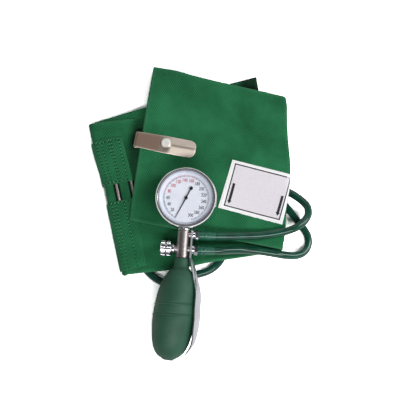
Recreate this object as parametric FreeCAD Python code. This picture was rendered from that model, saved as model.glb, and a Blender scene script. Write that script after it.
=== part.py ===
import FreeCAD, Part
import math
import os

# Palm-type aneroid sphygmomanometer: a dial gauge, release valve and rubber bulb on one
# chromed stem, with two hoses to a cloth cuff that lies folded in three layers under the
# gauge. Millimetres, +Z up. The origin is on the table, under the middle of the object.

os.makedirs("parts", exist_ok=True)
V = FreeCAD.Vector

# ---------------------------------------------------------------- driving dimensions
# Hoses
HOSE_OD = 7.4
HOSE_ID = 4.2
HOSE_RADIUS = HOSE_OD / 2
FLOOR_GAP = 0.15
HOSE_FLOOR_Z = HOSE_RADIUS + FLOOR_GAP

# Cuff: heights of the three folded layers
POCKET_TOP = HOSE_OD + 0.2
LAYER_THICKNESS = 2.4
PANEL_BOTTOM = POCKET_TOP + 0.6
PANEL_TOP = PANEL_BOTTOM + LAYER_THICKNESS
TAIL_BOTTOM = PANEL_TOP + 2.5
TAIL_TOP = TAIL_BOTTOM + LAYER_THICKNESS
POCKET_WALL = 0.8
BLADDER_WALL = 1.3
SEAM_ALLOWANCE = 13.0

# Cuff: corners of the strip, which is folded askew at both ends
LEFT_FOLD_FAR = V(-97.6, 86.6, 0)
LEFT_FOLD_NEAR = V(-64.5, -63.4, 0)
RIGHT_FOLD_FAR = V(97.8, 113.0, 0)
RIGHT_FOLD_NEAR = V(93.4, -40.0, 0)
TAIL_END_FAR = V(-34.0, 144.8, 0)
TAIL_END_NEAR = V(-57.0, -10.5, 0)
POCKET_END_FAR = V(66.1, 135.0, 0)
POCKET_TUCK = (V(82.0, 24.0, 0), V(62.0, 14.0, 0), V(27.0, -37.0, 0))

# Closure: bars under sewn patches, and a sheet-metal hook on the tail
BAR_WIDTH = 3.2
BAR_THICKNESS = 1.0
BAR_LENGTH = 56.0
BAR_MIDDLES = (V(-69.3, 18.0, 0), V(-54.2, 23.5, 0))
FOLD_BAR_MIDDLE = V(-82.5, 18.0, 0)
FOLD_BAR_RISE = 40.0
PATCH_THICKNESS = 1.9
UPPER_PATCH = (V(-87.5, 70.0, 0), V(-65.1, 73.9, 0), V(-54.4, 32.0, 0), V(-80.0, 23.2, 0))
LOWER_PATCH = (V(-76.6, 6.0, 0), V(-53.6, 12.7, 0), V(-39.6, -54.6, 0), V(-62.9, -56.0, 0))
HOOK_START = V(-51.6, 69.7, 0)
HOOK_TIP = V(7.8, 59.5, 0)
HOOK_SHEET = 0.8
HOOK_WIDTH_START = 15.0
HOOK_WIDTH_END = 17.2
HOOK_FLAT = 27.0
HOOK_HIP = 8.0
HOOK_RIDGE = 1.9
HOOK_LOWER_LEG = 24.0
LABEL_CORNERS = (V(43.3, 48.7, 0), V(98.7, 34.3, 0), V(91.4, -15.6, 0), V(29.1, 1.2, 0))
LABEL_THICKNESS = 0.4

# Hand unit: its own frame has the dial centre at the origin, +Y away from the bulb and
# +Z out of the dial. The stem's axis is the frame's Y axis.
UNIT_YAW = -4.0
UNIT_TILT = 5.2
GAUGE_CENTRE_X = -1.1
GAUGE_CENTRE_Y = 6.1
CASE_RADIUS = 27.4
CASE_BACK = -13.0
CASE_WALL = 1.5
BEZEL_SKIRT = 4.5
BEZEL_RADIUS = 29.0
BEZEL_FRONT = 13.0
DIAL_VIEW_RADIUS = 25.7
DIAL_RADIUS = 25.4
DIAL_BOTTOM = 6.6
DIAL_THICKNESS = 0.6
LENS_BOTTOM = 9.9
LENS_THICKNESS = 1.6
POINTER_Z = 8.2
POINTER_THICKNESS = 0.4
POINTER_LENGTH = 21.1
POINTER_TAIL = 12.0
ZERO_ANGLE = 204.0

# Movement: an eight-leaf pinion driven by a toothed sector of one tenth of its speed
TOOTH_MODULE = 0.4
PINION_TEETH = 8
SECTOR_TEETH_FULL = 80
SECTOR_TEETH = 12
SECTOR_PIVOT_ANGLE = 60.0
GEAR_BOTTOM = 1.0
GEAR_THICKNESS = 0.8
CAPSULE_RADIUS = 16.0
CAPSULE_BOTTOM = -10.2
CAPSULE_HEIGHT = 4.0
CAPSULE_WAVE = 0.45
CAPSULE_SHEET = 0.3
PIPE_RADIUS = 4.0
PIPE_SOCKET = 1.1

# Stem, nipples, release valve and thumb spoon
STEM_RADIUS = 5.9
STEM_FLARE = 0.35
COLLAR_TOP = -27.5
STEM_TOP = -30.2
STEM_BOTTOM = -56.4
STEM_BORE = 1.9
SPIGOT_RADIUS = 3.9
SPIGOT_END = -66.5
NIPPLE_Y = (-33.9, -47.7)
NIPPLE_FLANGE_END = 14.2
NIPPLE_BARB_END = 22.7
VALVE_Y = -48.0
VALVE_COLLAR_END = 10.2
VALVE_GAP = 0.5
KNOB_LENGTH = 10.1
KNOB_RADIUS = 7.4
KNOB_FLUTES = 12
KNOB_FLUTE_RADIUS = 1.3
NEEDLE_RADIUS = 1.6
SPOON_SHEET = 1.4
SPOON_SHANK_X = 7.25
SPOON_SHANK_WIDTH = 11.5

# Bulb: a hollow rubber body whose neck grips the stem's spigot, and which sags sideways
BULB_NECK_RADIUS = 7.6
BULB_MOUTH_RADIUS = 6.7
BULB_NECK_TOP = -56.6
BULB_SWING_Y = -61.0
BULB_SWING = -3.8
BULB_WALL = 2.2
BULB_BELLY_Y = -112.9
BULB_BELLY_RADIUS = 20.2
BULB_RIB_RADIUS = 20.3
BULB_END = -152.0
INLET_BALL_RADIUS = 1.9

UNIT_HEIGHT = BULB_RIB_RADIUS + FLOOR_GAP - BULB_BELLY_Y * math.sin(math.radians(UNIT_TILT))
UNIT_PLACEMENT = FreeCAD.Placement(
    V(GAUGE_CENTRE_X, GAUGE_CENTRE_Y, UNIT_HEIGHT),
    FreeCAD.Rotation(V(0, 0, 1), UNIT_YAW).multiply(FreeCAD.Rotation(V(1, 0, 0), UNIT_TILT)),
)
BULB_SWING_PLACEMENT = FreeCAD.Placement(
    V(0, 0, 0), FreeCAD.Rotation(V(0, 0, 1), BULB_SWING), V(0, BULB_SWING_Y, 0)
)


# ---------------------------------------------------------------- helpers
def save(name, shape):
    """Write one sub-part and say what it measures."""
    state = "ok" if shape.isValid() else "INVALID"
    heights = [point.z for point in shape.tessellate(0.05)[0]]
    print(f"{name:20s} {state} solids {len(shape.Solids)} volume {shape.Volume:9.1f} "
          f"z {min(heights):.2f}..{max(heights):.2f}")
    shape.exportStep(f"parts/{name}.step")


def save_on_unit(name, shape, swing=False):
    """Write a sub-part that was modelled in the hand unit's frame."""
    placed = shape.copy()
    if swing:
        placed.Placement = UNIT_PLACEMENT.multiply(BULB_SWING_PLACEMENT).multiply(placed.Placement)
    else:
        placed.Placement = UNIT_PLACEMENT.multiply(placed.Placement)
    save(name, placed)


def polygon_face(points):
    return Part.Face(Part.makePolygon(list(points) + [points[0]]))


def turned(profile, axis="z"):
    """Revolve a closed profile of (radius, height) pairs about an axis of the frame."""
    face = polygon_face([V(radius, 0, height) for radius, height in profile])
    solid = face.revolve(V(0, 0, 0), V(0, 0, 1), 360)
    if axis == "x":
        solid.rotate(V(0, 0, 0), V(0, 1, 0), 90)
    return solid


def clear_of_fold(corner, towards, fold, distance):
    """Move a corner that lies on a fold line towards another, to a distance from the line."""
    edge = (towards - corner).normalize()
    slant = edge.cross((fold[1] - fold[0]).normalize()).Length
    return corner + edge * (distance / slant)


def prism(corners, bottom, height, corner_radius=0.0):
    """A flat slab on the given corners, with its upright edges rounded."""
    slab = polygon_face([V(p.x, p.y, bottom) for p in corners]).extrude(V(0, 0, height))
    if corner_radius:
        upright = [e for e in slab.Edges if abs(e.tangentAt(e.FirstParameter).z) > 0.9]
        slab = slab.makeFillet(corner_radius, upright)
    return slab


def fold_bend(far, near, inward, bottom, top, wall):
    """The half-round bend of doubled cloth along a fold line, open on its inward side."""
    outer = (top - bottom) / 2
    inner = outer - wall
    run = near - far
    side = (inward - run * (inward.dot(run) / run.dot(run))).normalize()
    centre = far + side * outer + V(0, 0, bottom + outer)
    up = V(0, 0, 1)
    edges = [
        Part.Arc(centre + up * outer, centre - side * outer, centre - up * outer).toShape(),
        Part.LineSegment(centre - up * outer, centre - up * inner).toShape(),
        Part.Arc(centre - up * inner, centre - side * inner, centre + up * inner).toShape(),
        Part.LineSegment(centre + up * inner, centre + up * outer).toShape(),
    ]
    return Part.Face(Part.Wire(edges)).extrude(run)


def tube(name, points, radius, bore=0.0, bore_depth=0.0):
    """A hose along straight runs joined by tangent arcs, bored at its first end."""
    runs = [(b - a).Length for a, b in zip(points, points[1:])]
    edges = []
    radii = []
    last = points[0]
    for i in range(1, len(points) - 1):
        before = (points[i] - points[i - 1]).normalize()
        after = (points[i + 1] - points[i]).normalize()
        half_turn = before.getAngle(after) / 2
        reach = 0.45 * min(runs[i - 1], runs[i])
        radii.append(reach / math.tan(half_turn))
        start = points[i] - before * reach
        end = points[i] + after * reach
        inward = (after - before).normalize()
        middle = points[i] + inward * (radii[-1] / math.cos(half_turn) - radii[-1])
        edges.append(Part.LineSegment(last, start).toShape())
        edges.append(Part.Arc(start, middle, end).toShape())
        last = end
    edges.append(Part.LineSegment(last, points[-1]).toShape())
    path = Part.Wire(edges)
    direction = (points[1] - points[0]).normalize()
    section = Part.Wire(Part.makeCircle(radius, points[0], direction))
    hose = path.makePipeShell([section], True, False)
    expected = math.pi * radius ** 2 * path.Length
    print(f"{name}: length {path.Length:.1f}, radii in diameters "
          f"{' '.join(f'{r / (2 * radius):.1f}' for r in radii)}, "
          f"volume over section times length {hose.Volume / expected:.4f}")
    if bore:
        hose = hose.cut(Part.makeCylinder(bore, bore_depth, points[0], direction))
    return hose


def unit_point(x, y, z):
    """A point of the hand unit's frame, in the object's frame."""
    return UNIT_PLACEMENT.multVec(V(x, y, z))


# ---------------------------------------------------------------- cuff
LEFT_FOLD = (LEFT_FOLD_FAR, LEFT_FOLD_NEAR)
RIGHT_FOLD = (RIGHT_FOLD_FAR, RIGHT_FOLD_NEAR)
LEFT_BEND = PANEL_TOP / 2
RIGHT_BEND = (TAIL_TOP - PANEL_BOTTOM) / 2


def pocket_corners():
    """The lowest layer, from the left fold to its own cut end, whose near corner is tucked."""
    return [
        clear_of_fold(LEFT_FOLD_FAR, POCKET_END_FAR, LEFT_FOLD, LEFT_BEND),
        POCKET_END_FAR,
        *POCKET_TUCK,
        clear_of_fold(LEFT_FOLD_NEAR, POCKET_TUCK[-1], LEFT_FOLD, LEFT_BEND),
    ]


def make_pocket(hoses):
    corners = pocket_corners()
    outside = prism(corners, 0, POCKET_TOP, 3.0)
    inside = inset_slab(corners, POCKET_WALL, POCKET_WALL, POCKET_TOP - 2 * POCKET_WALL)
    pocket = outside.cut(inside)
    for hose in hoses:
        pocket = pocket.cut(hose)
    return pocket


def inset_slab(corners, inset, bottom, height):
    """A slab on the same corners, drawn in on every side."""
    face = polygon_face([V(p.x, p.y, bottom) for p in corners])
    return face.makeOffset2D(-inset).extrude(V(0, 0, height))


def make_bladder():
    """A flat rubber bag, sealed all round, that fills the pocket inside its seams."""
    clearance = 0.2
    bottom = POCKET_WALL + clearance
    height = POCKET_TOP - 2 * bottom
    bag = inset_slab(pocket_corners(), SEAM_ALLOWANCE, bottom, height)
    air = inset_slab(pocket_corners(), SEAM_ALLOWANCE + 2 * BLADDER_WALL,
                     bottom + BLADDER_WALL, height - 2 * BLADDER_WALL)
    return bag.cut(air)


def make_panel():
    corners = [
        clear_of_fold(LEFT_FOLD_FAR, RIGHT_FOLD_FAR, LEFT_FOLD, LEFT_BEND),
        clear_of_fold(RIGHT_FOLD_FAR, LEFT_FOLD_FAR, RIGHT_FOLD, RIGHT_BEND),
        clear_of_fold(RIGHT_FOLD_NEAR, LEFT_FOLD_NEAR, RIGHT_FOLD, RIGHT_BEND),
        clear_of_fold(LEFT_FOLD_NEAR, RIGHT_FOLD_NEAR, LEFT_FOLD, LEFT_BEND),
    ]
    return prism(corners, PANEL_BOTTOM, LAYER_THICKNESS)


def make_tail():
    corners = [
        TAIL_END_FAR,
        clear_of_fold(RIGHT_FOLD_FAR, TAIL_END_FAR, RIGHT_FOLD, RIGHT_BEND),
        clear_of_fold(RIGHT_FOLD_NEAR, TAIL_END_NEAR, RIGHT_FOLD, RIGHT_BEND),
        TAIL_END_NEAR,
    ]
    return prism(corners, TAIL_BOTTOM, LAYER_THICKNESS)


def make_bars():
    """Flat steel bars that lie on the panel, parallel to the left fold."""
    run = (LEFT_FOLD_NEAR - LEFT_FOLD_FAR).normalize()
    across = V(-run.y, run.x, 0)
    bars = []
    for middle in BAR_MIDDLES:
        ends = [middle - run * (BAR_LENGTH / 2), middle + run * (BAR_LENGTH / 2)]
        half = across * (BAR_WIDTH / 2)
        corners = [ends[0] - half, ends[1] - half, ends[1] + half, ends[0] + half]
        bars.append(prism(corners, PANEL_TOP, BAR_THICKNESS, 0.45))
    return bars


def make_fold_bar():
    """The outermost bar, which leans on the bend of the left fold."""
    bar = Part.makeBox(BAR_WIDTH, BAR_LENGTH, BAR_THICKNESS, V(-BAR_WIDTH / 2, -BAR_LENGTH / 2, 0.05))
    bar.rotate(V(0, 0, 0), V(0, 1, 0), FOLD_BAR_RISE - 90)
    bar.translate(V(LEFT_BEND * (1 - math.cos(math.radians(FOLD_BAR_RISE))), 0,
                    LEFT_BEND * (1 + math.sin(math.radians(FOLD_BAR_RISE)))))
    run = LEFT_FOLD_FAR - LEFT_FOLD_NEAR
    bar.rotate(V(0, 0, 0), V(0, 0, 1), math.degrees(math.atan2(-run.x, run.y)))
    bar.translate(FOLD_BAR_MIDDLE)
    return bar


def make_patch(corners, bars):
    """A doubled cloth patch sewn over the ends of the bars."""
    patch = prism(corners, PANEL_TOP, PATCH_THICKNESS, 1.0)
    for bar in bars:
        patch = patch.cut(bar)
    return patch


def make_hook():
    """A hook pressed from sheet: a clamped lower leg, a bend and a ridged upper tongue."""
    length = (HOOK_TIP - HOOK_START).Length
    bottom = PANEL_TOP + 1.3
    bend = (TAIL_TOP + 0.3 + HOOK_SHEET - bottom) / 2
    base = TAIL_TOP + 0.3
    half_start = HOOK_WIDTH_START / 2
    half_end = HOOK_WIDTH_END / 2

    lower = Part.makeBox(HOOK_LOWER_LEG, HOOK_WIDTH_START - 1, HOOK_SHEET,
                         V(bend, -half_start + 0.5, bottom))
    curl = fold_bend(V(0, -half_start, 0), V(0, half_start, 0), V(1, 0, 0),
                     bottom, bottom + 2 * bend, HOOK_SHEET)
    flat = Part.makeBox(HOOK_FLAT - bend, 2 * half_end, HOOK_SHEET, V(bend, -half_end, base))

    def roof_section(x, rise):
        under = base + rise
        return Part.makePolygon([
            V(x, -half_end, base), V(x, 0, under), V(x, half_end, base),
            V(x, half_end, base + HOOK_SHEET), V(x, 0, under + HOOK_SHEET),
            V(x, -half_end, base + HOOK_SHEET), V(x, -half_end, base),
        ])

    ridge_start = HOOK_FLAT + HOOK_HIP
    hip = Part.makeLoft([roof_section(HOOK_FLAT, 0.02), roof_section(ridge_start, HOOK_RIDGE)],
                        True, True)
    ridge = Part.Face(roof_section(ridge_start, HOOK_RIDGE)).extrude(V(length - ridge_start, 0, 0))
    upper = flat.fuse([hip, ridge])

    # The outline seen from above: a slight taper, then a blunt rounded tip.
    corner = 6.0
    outline = Part.Wire([
        Part.LineSegment(V(bend, -half_start, 0), V(HOOK_FLAT, -half_end, 0)).toShape(),
        Part.LineSegment(V(HOOK_FLAT, -half_end, 0), V(length - corner, -half_end, 0)).toShape(),
        Part.Arc(V(length - corner, -half_end, 0), V(length, 0, 0),
                 V(length - corner, half_end, 0)).toShape(),
        Part.LineSegment(V(length - corner, half_end, 0), V(HOOK_FLAT, half_end, 0)).toShape(),
        Part.LineSegment(V(HOOK_FLAT, half_end, 0), V(bend, half_start, 0)).toShape(),
        Part.LineSegment(V(bend, half_start, 0), V(bend, -half_start, 0)).toShape(),
    ])
    upper = upper.common(Part.Face(outline).extrude(V(0, 0, 40)))
    hook = upper.fuse([curl, lower]).removeSplitter()
    angle = math.degrees(math.atan2(HOOK_TIP.y - HOOK_START.y, HOOK_TIP.x - HOOK_START.x))
    hook.Placement = FreeCAD.Placement(HOOK_START, FreeCAD.Rotation(V(0, 0, 1), angle))
    return hook


# ---------------------------------------------------------------- gauge
def make_case():
    """A turned cup with a rounded back edge, a rim for the bezel and a seat for the neck."""
    r = CASE_RADIUS
    cup = turned([
        (0, CASE_BACK), (r - 3.0, CASE_BACK), (r - 0.8, CASE_BACK + 1.0),
        (r, CASE_BACK + 3.0), (r, DIAL_BOTTOM), (DIAL_RADIUS - 1.0, DIAL_BOTTOM),
        (DIAL_RADIUS - 1.0, DIAL_BOTTOM - 1.0), (r - CASE_WALL, DIAL_BOTTOM - 2.0),
        (r - CASE_WALL, CASE_BACK + CASE_WALL), (0, CASE_BACK + CASE_WALL),
    ])
    opening = Part.makeCylinder(4.1, 8, V(0, -r - 1, 0), V(0, 1, 0))
    return cup.cut(opening)


def make_bezel():
    """The screwed-on bright ring: a rolled front lip over the lens and a plain skirt."""
    r = BEZEL_RADIUS
    return turned([
        (CASE_RADIUS + 0.05, BEZEL_SKIRT), (r - 0.6, BEZEL_SKIRT), (r, BEZEL_SKIRT + 0.8),
        (r, BEZEL_FRONT - 2.6), (r - 0.5, BEZEL_FRONT - 1.0), (r - 1.5, BEZEL_FRONT - 0.1),
        (r - 2.3, BEZEL_FRONT), (DIAL_VIEW_RADIUS + 0.2, BEZEL_FRONT - 0.5),
        (DIAL_VIEW_RADIUS, BEZEL_FRONT - 1.4), (CASE_RADIUS + 0.05, BEZEL_FRONT - 1.4),
    ])


def make_lens():
    edge = CASE_RADIUS - 0.1
    top = LENS_BOTTOM + LENS_THICKNESS
    return turned([(0, LENS_BOTTOM), (edge, LENS_BOTTOM), (edge, top), (0, top)])


def make_spacer_ring():
    """The white ring that holds the dial down and the lens up."""
    dial_top = DIAL_BOTTOM + DIAL_THICKNESS
    edge = CASE_RADIUS - 0.1
    return turned([
        (DIAL_RADIUS - 0.9, dial_top), (edge, dial_top), (edge, LENS_BOTTOM),
        (DIAL_RADIUS, LENS_BOTTOM),
    ])


def make_dial():
    top = DIAL_BOTTOM + DIAL_THICKNESS
    edge = CASE_RADIUS - 0.2
    return turned([(1.2, DIAL_BOTTOM), (edge, DIAL_BOTTOM), (edge, top), (1.2, top)])


def make_pointer():
    """A slim blade with a tapered tip, a round counterweight and a hub, set at zero."""
    z = POINTER_Z
    blade = polygon_face([
        V(-0.6, 0, z), V(-0.45, -POINTER_TAIL + 2, z), V(0.45, -POINTER_TAIL + 2, z),
        V(0.6, 0, z), V(0.22, POINTER_LENGTH, z), V(-0.22, POINTER_LENGTH, z),
    ]).extrude(V(0, 0, POINTER_THICKNESS))
    weight = Part.makeCylinder(1.7, POINTER_THICKNESS, V(0, -POINTER_TAIL + 1.7, z))
    hub = Part.makeCylinder(1.6, POINTER_THICKNESS + 0.5, V(0, 0, z))
    pointer = blade.fuse([weight, hub]).cut(Part.makeCylinder(0.45, 3, V(0, 0, z - 1)))
    pointer.rotate(V(0, 0, 0), V(0, 0, 1), -ZERO_ANGLE)
    return pointer.removeSplitter()


def gear_outline(teeth, count, pitch_radius, z, first_angle):
    """Points of a toothed edge: narrow straight-flanked teeth with ample backlash."""
    step = 360.0 / teeth
    points = []
    root = pitch_radius - 1.15 * TOOTH_MODULE
    tip = pitch_radius + 0.85 * TOOTH_MODULE
    for i in range(count):
        middle = first_angle + i * step
        for part, radius in ((-0.24, root), (-0.10, tip), (0.10, tip), (0.24, root)):
            angle = math.radians(middle + part * step)
            points.append(V(radius * math.cos(angle), radius * math.sin(angle), z))
    return points


PINION_RADIUS = TOOTH_MODULE * PINION_TEETH / 2
SECTOR_RADIUS = TOOTH_MODULE * SECTOR_TEETH_FULL / 2
SECTOR_CENTRE = V(
    (PINION_RADIUS + SECTOR_RADIUS) * math.cos(math.radians(SECTOR_PIVOT_ANGLE)),
    (PINION_RADIUS + SECTOR_RADIUS) * math.sin(math.radians(SECTOR_PIVOT_ANGLE)),
    0,
)


def make_pinion():
    """The centre arbor with its leaves, standing in the base and the bridge."""
    mesh_angle = SECTOR_PIVOT_ANGLE
    outline = gear_outline(PINION_TEETH, PINION_TEETH, PINION_RADIUS, GEAR_BOTTOM - 0.5, mesh_angle)
    leaves = polygon_face(outline).extrude(V(0, 0, GEAR_THICKNESS + 1.0))
    shaft = turned([
        (0, -1.9), (0.35, -1.9), (0.35, -0.7), (0.9, -0.7), (0.9, 4.1), (0.6, 4.1), (0.6, 6.0),
        (0.4, 6.0), (0.4, POINTER_Z + 1.1), (0, POINTER_Z + 1.1),
    ])
    return leaves.fuse(shaft).removeSplitter()


def make_sector():
    """The toothed sector: a rim of teeth, a pierced web and its own arbor."""
    towards_pinion = SECTOR_PIVOT_ANGLE + 180
    step = 360.0 / SECTOR_TEETH_FULL
    first = towards_pinion + 1.5 * step - (SECTOR_TEETH - 1) * step
    teeth = gear_outline(SECTOR_TEETH_FULL, SECTOR_TEETH, SECTOR_RADIUS, GEAR_BOTTOM, first)
    last_angle = math.radians(first + (SECTOR_TEETH - 1) * step + step)
    first_angle = math.radians(first - step)
    hub = 2.0

    def polar(radius, angle):
        return V(radius * math.cos(angle), radius * math.sin(angle), GEAR_BOTTOM)

    root = SECTOR_RADIUS - 1.2 * TOOTH_MODULE
    outline = [polar(hub, first_angle), polar(root, first_angle), *teeth,
               polar(root, last_angle), polar(hub, last_angle)]
    plate = polygon_face(outline).extrude(V(0, 0, GEAR_THICKNESS))
    middle = (first_angle + last_angle) / 2
    spread = (last_angle - first_angle) / 2 * 0.55
    window = polygon_face([
        polar(5.0, middle - spread), polar(root - 2.0, middle - spread),
        polar(root - 1.8, middle), polar(root - 2.0, middle + spread), polar(5.0, middle + spread),
    ]).extrude(V(0, 0, GEAR_THICKNESS))
    boss = Part.makeCylinder(2.4, 1.6, V(0, 0, GEAR_BOTTOM - 0.4))
    arbor = turned([(0, -1.9), (0.35, -1.9), (0.35, -0.7), (0.8, -0.7), (0.8, 4.1), (0.35, 4.1),
                    (0.35, 5.2), (0, 5.2)])
    sector = plate.cut(window).fuse([boss, arbor])
    sector.translate(SECTOR_CENTRE)
    return sector.removeSplitter()


PILLAR_ANGLES = (20.0, 115.0, 215.0, 325.0)
PILLAR_CIRCLE = 20.5
SPRING_STUD = 4.35


def pillar_points():
    return [V(PILLAR_CIRCLE * math.cos(math.radians(a)), PILLAR_CIRCLE * math.sin(math.radians(a)), 0)
            for a in PILLAR_ANGLES]


def make_movement_base():
    """The lower plate on four pillars that stand on the case floor."""
    plate = polygon_face([V(p.x * 1.12, p.y * 1.12, -2.0) for p in pillar_points()])
    plate = plate.extrude(V(0, 0, 1.0))
    pillars = [Part.makeCylinder(1.6, -2.0 - CASE_BACK - CASE_WALL, p + V(0, 0, CASE_BACK + CASE_WALL))
               for p in pillar_points()]
    base = plate.fuse(pillars)
    boss = Part.makeCylinder(3.0, 1.0, SECTOR_CENTRE + V(0, 0, -2.0))
    base = base.fuse(boss)
    for centre in (V(0, 0, 0), SECTOR_CENTRE):
        base = base.cut(Part.makeCylinder(0.42, 3, centre + V(0, 0, -3)))
    return base.removeSplitter()


def make_movement_bridge():
    """The upper plate, on two short posts, that carries both top pivots."""
    side = V(-SECTOR_CENTRE.y, SECTOR_CENTRE.x, 0).normalize()
    inward = V(SECTOR_CENTRE).normalize()
    posts = [inward * -6.5, inward * 9.0 + side * 13.0]
    corners = [
        posts[0] - side * 2.6 - inward * 2.4, SECTOR_CENTRE - side * 2.8 + inward * 2.4,
        SECTOR_CENTRE + side * 2.8 + inward * 2.4, posts[1] + side * 2.4 + inward * 2.2,
        posts[1] + side * 2.4 - inward * 2.4, posts[0] + side * 2.6 - inward * 2.4,
    ]
    bridge = prism([V(c) for c in corners], 4.4, 1.0, 0.8)
    for post in posts:
        bridge = bridge.fuse(Part.makeCylinder(1.5, 5.4, post + V(0, 0, -1.0)))
    bridge = bridge.fuse(Part.makeCylinder(0.42, 1.6, inward * -SPRING_STUD + V(0, 0, 2.9)))
    bridge = bridge.cut(Part.makeCylinder(0.66, 3, V(0, 0, 3)))
    bridge = bridge.cut(Part.makeCylinder(0.42, 3, SECTOR_CENTRE + V(0, 0, 3)))
    return bridge.removeSplitter()


def make_hairspring():
    """A flat spiral round the centre arbor, drawn as half-turns of growing radius."""
    half_turns = 9
    first_radius = 1.25
    growth = 0.33
    thickness = 0.12
    solids = []
    x = first_radius
    for i in range(half_turns):
        radius = first_radius + growth * i
        sign = 1 if i % 2 == 0 else -1
        centre = V(x - sign * radius, 0, 3.0)
        ring = Part.makeCylinder(radius + thickness, 0.6, centre)
        ring = ring.cut(Part.makeCylinder(radius - thickness, 0.6, centre))
        half = Part.makeBox(20, 10, 0.6, V(centre.x - 10, 0 if sign > 0 else -10, 3.0))
        solids.append(ring.common(half))
        x = centre.x - sign * radius
    spring = solids[0].fuse(solids[1:]).removeSplitter()
    spring.rotate(V(0, 0, 0), V(0, 0, 1), SECTOR_PIVOT_ANGLE)
    return spring


def make_capsule():
    """Two corrugated metal diaphragms joined at their rims, with flat centre bosses."""
    rings = 5
    boss = 3.6
    pitch = (CAPSULE_RADIUS - boss - 0.6) / rings
    face = CAPSULE_HEIGHT / 2
    outside = [(0, face), (boss, face)]
    for i in range(rings):
        start = boss + i * pitch
        outside.append((start + pitch * 0.3, face + CAPSULE_WAVE))
        outside.append((start + pitch * 0.8, face - CAPSULE_WAVE))
    inside = [(radius, height - CAPSULE_SHEET) for radius, height in outside]
    rim = [(CAPSULE_RADIUS, 0.5), (CAPSULE_RADIUS, 0), (CAPSULE_RADIUS - 0.9, 0)]
    upper = turned(outside + rim + inside[::-1])
    lower = upper.mirror(V(0, 0, 0), V(0, 0, 1))
    capsule = upper.fuse(lower)
    capsule.translate(V(0, 0, CAPSULE_BOTTOM + face + CAPSULE_WAVE))
    return capsule.removeSplitter()


def make_lift_pin():
    """The jewel-tipped pin that rides on the capsule and pushes the movement."""
    start = CAPSULE_BOTTOM + CAPSULE_HEIGHT + CAPSULE_WAVE
    return turned([(0, start), (2.2, start), (2.2, start + 0.5), (0.7, start + 0.9),
                   (0.7, start + 1.5), (0.3, start + 2.0), (0, start + 2.0)])


def make_air_block():
    """The soldered block that leads air from the stem into the underside of the capsule."""
    floor = CASE_BACK + CASE_WALL
    block = Part.makeBox(11, 6.5, 4.6 - floor, V(-5.5, -24.4, floor))
    strip = Part.makeBox(5, 24, 0.75, V(-2.5, -20, floor))
    centre = Part.makeCylinder(3.4, CAPSULE_BOTTOM + CAPSULE_WAVE - floor, V(0, 0, floor))
    pipe_end = STEM_TOP - PIPE_SOCKET + 0.1
    pipe = Part.makeCylinder(PIPE_RADIUS, -20.0 - pipe_end, V(0, pipe_end, 0), V(0, 1, 0))
    bore = Part.makeCylinder(STEM_BORE, 13.0, V(0, STEM_TOP - 3, 0), V(0, 1, 0))
    return block.fuse([strip, centre, pipe]).cut(bore).removeSplitter()


# ---------------------------------------------------------------- stem, valve and spoon
def turned_down(profile):
    """Revolve a profile whose heights run from the dial centre towards the bulb."""
    solid = turned(profile)
    solid.rotate(V(0, 0, 0), V(1, 0, 0), 90)
    return solid


def make_neck_collar():
    """The bright stepped collar between the gauge and the stem."""
    top, bottom = -COLLAR_TOP, -STEM_TOP
    hole = PIPE_RADIUS + 0.05
    return turned_down([(hole, top), (4.45, top), (4.45, top + 1.6), (6.4, top + 1.6),
                        (6.4, top + 2.3), (5.9, bottom), (hole, bottom)])


def make_stem():
    """The barrel with its side bosses, its bores and the ribbed spigot for the bulb."""
    r = STEM_RADIUS
    top, bottom, end = -STEM_TOP, -STEM_BOTTOM, -SPIGOT_END
    profile = [(0, top), (r - 0.5, top), (r, top + 0.5), (r, bottom - 6.0),
               (r + STEM_FLARE, bottom - 0.6), (r - 0.2, bottom), (SPIGOT_RADIUS - 0.5, bottom)]
    for start in (bottom + 1.5, bottom + 4.5, bottom + 7.5):
        profile += [(SPIGOT_RADIUS - 0.5, start), (SPIGOT_RADIUS, start + 0.4),
                    (SPIGOT_RADIUS - 0.4, start + 2.0)]
    profile += [(SPIGOT_RADIUS - 0.6, end), (0, end)]
    barrel = turned_down(profile)
    bosses = [Part.makeCylinder(3.6, SPOON_SHANK_X, V(0, y, 0), V(1, 0, 0)) for y in NIPPLE_Y]
    neck = Part.makeCylinder(3.6, 7.4, V(0, VALVE_Y, 0), V(-1, 0, 0))
    stem = barrel.fuse(bosses + [neck])
    cuts = [
        Part.makeCylinder(PIPE_RADIUS + 0.05, PIPE_SOCKET, V(0, STEM_TOP, 0), V(0, -1, 0)),
        Part.makeCylinder(STEM_BORE, 40, V(0, STEM_TOP, 0), V(0, -1, 0)),
        Part.makeCylinder(2.45, 3.0, V(0, SPIGOT_END, 0), V(0, 1, 0)),
        Part.makeCylinder(2.5, 12, V(-2.6, VALVE_Y, 0), V(-1, 0, 0)),
        Part.makeCylinder(1.0, 3, V(0, VALVE_Y, 0), V(-1, 0, 0)),
    ]
    for y in NIPPLE_Y:
        cuts.append(Part.makeCylinder(2.5, 12, V(3.0, y, 0), V(1, 0, 0)))
        cuts.append(Part.makeCylinder(1.3, 6, V(0, y, 0), V(1, 0, 0)))
    for tool in cuts:
        stem = stem.cut(tool)
    return stem.removeSplitter()


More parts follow.
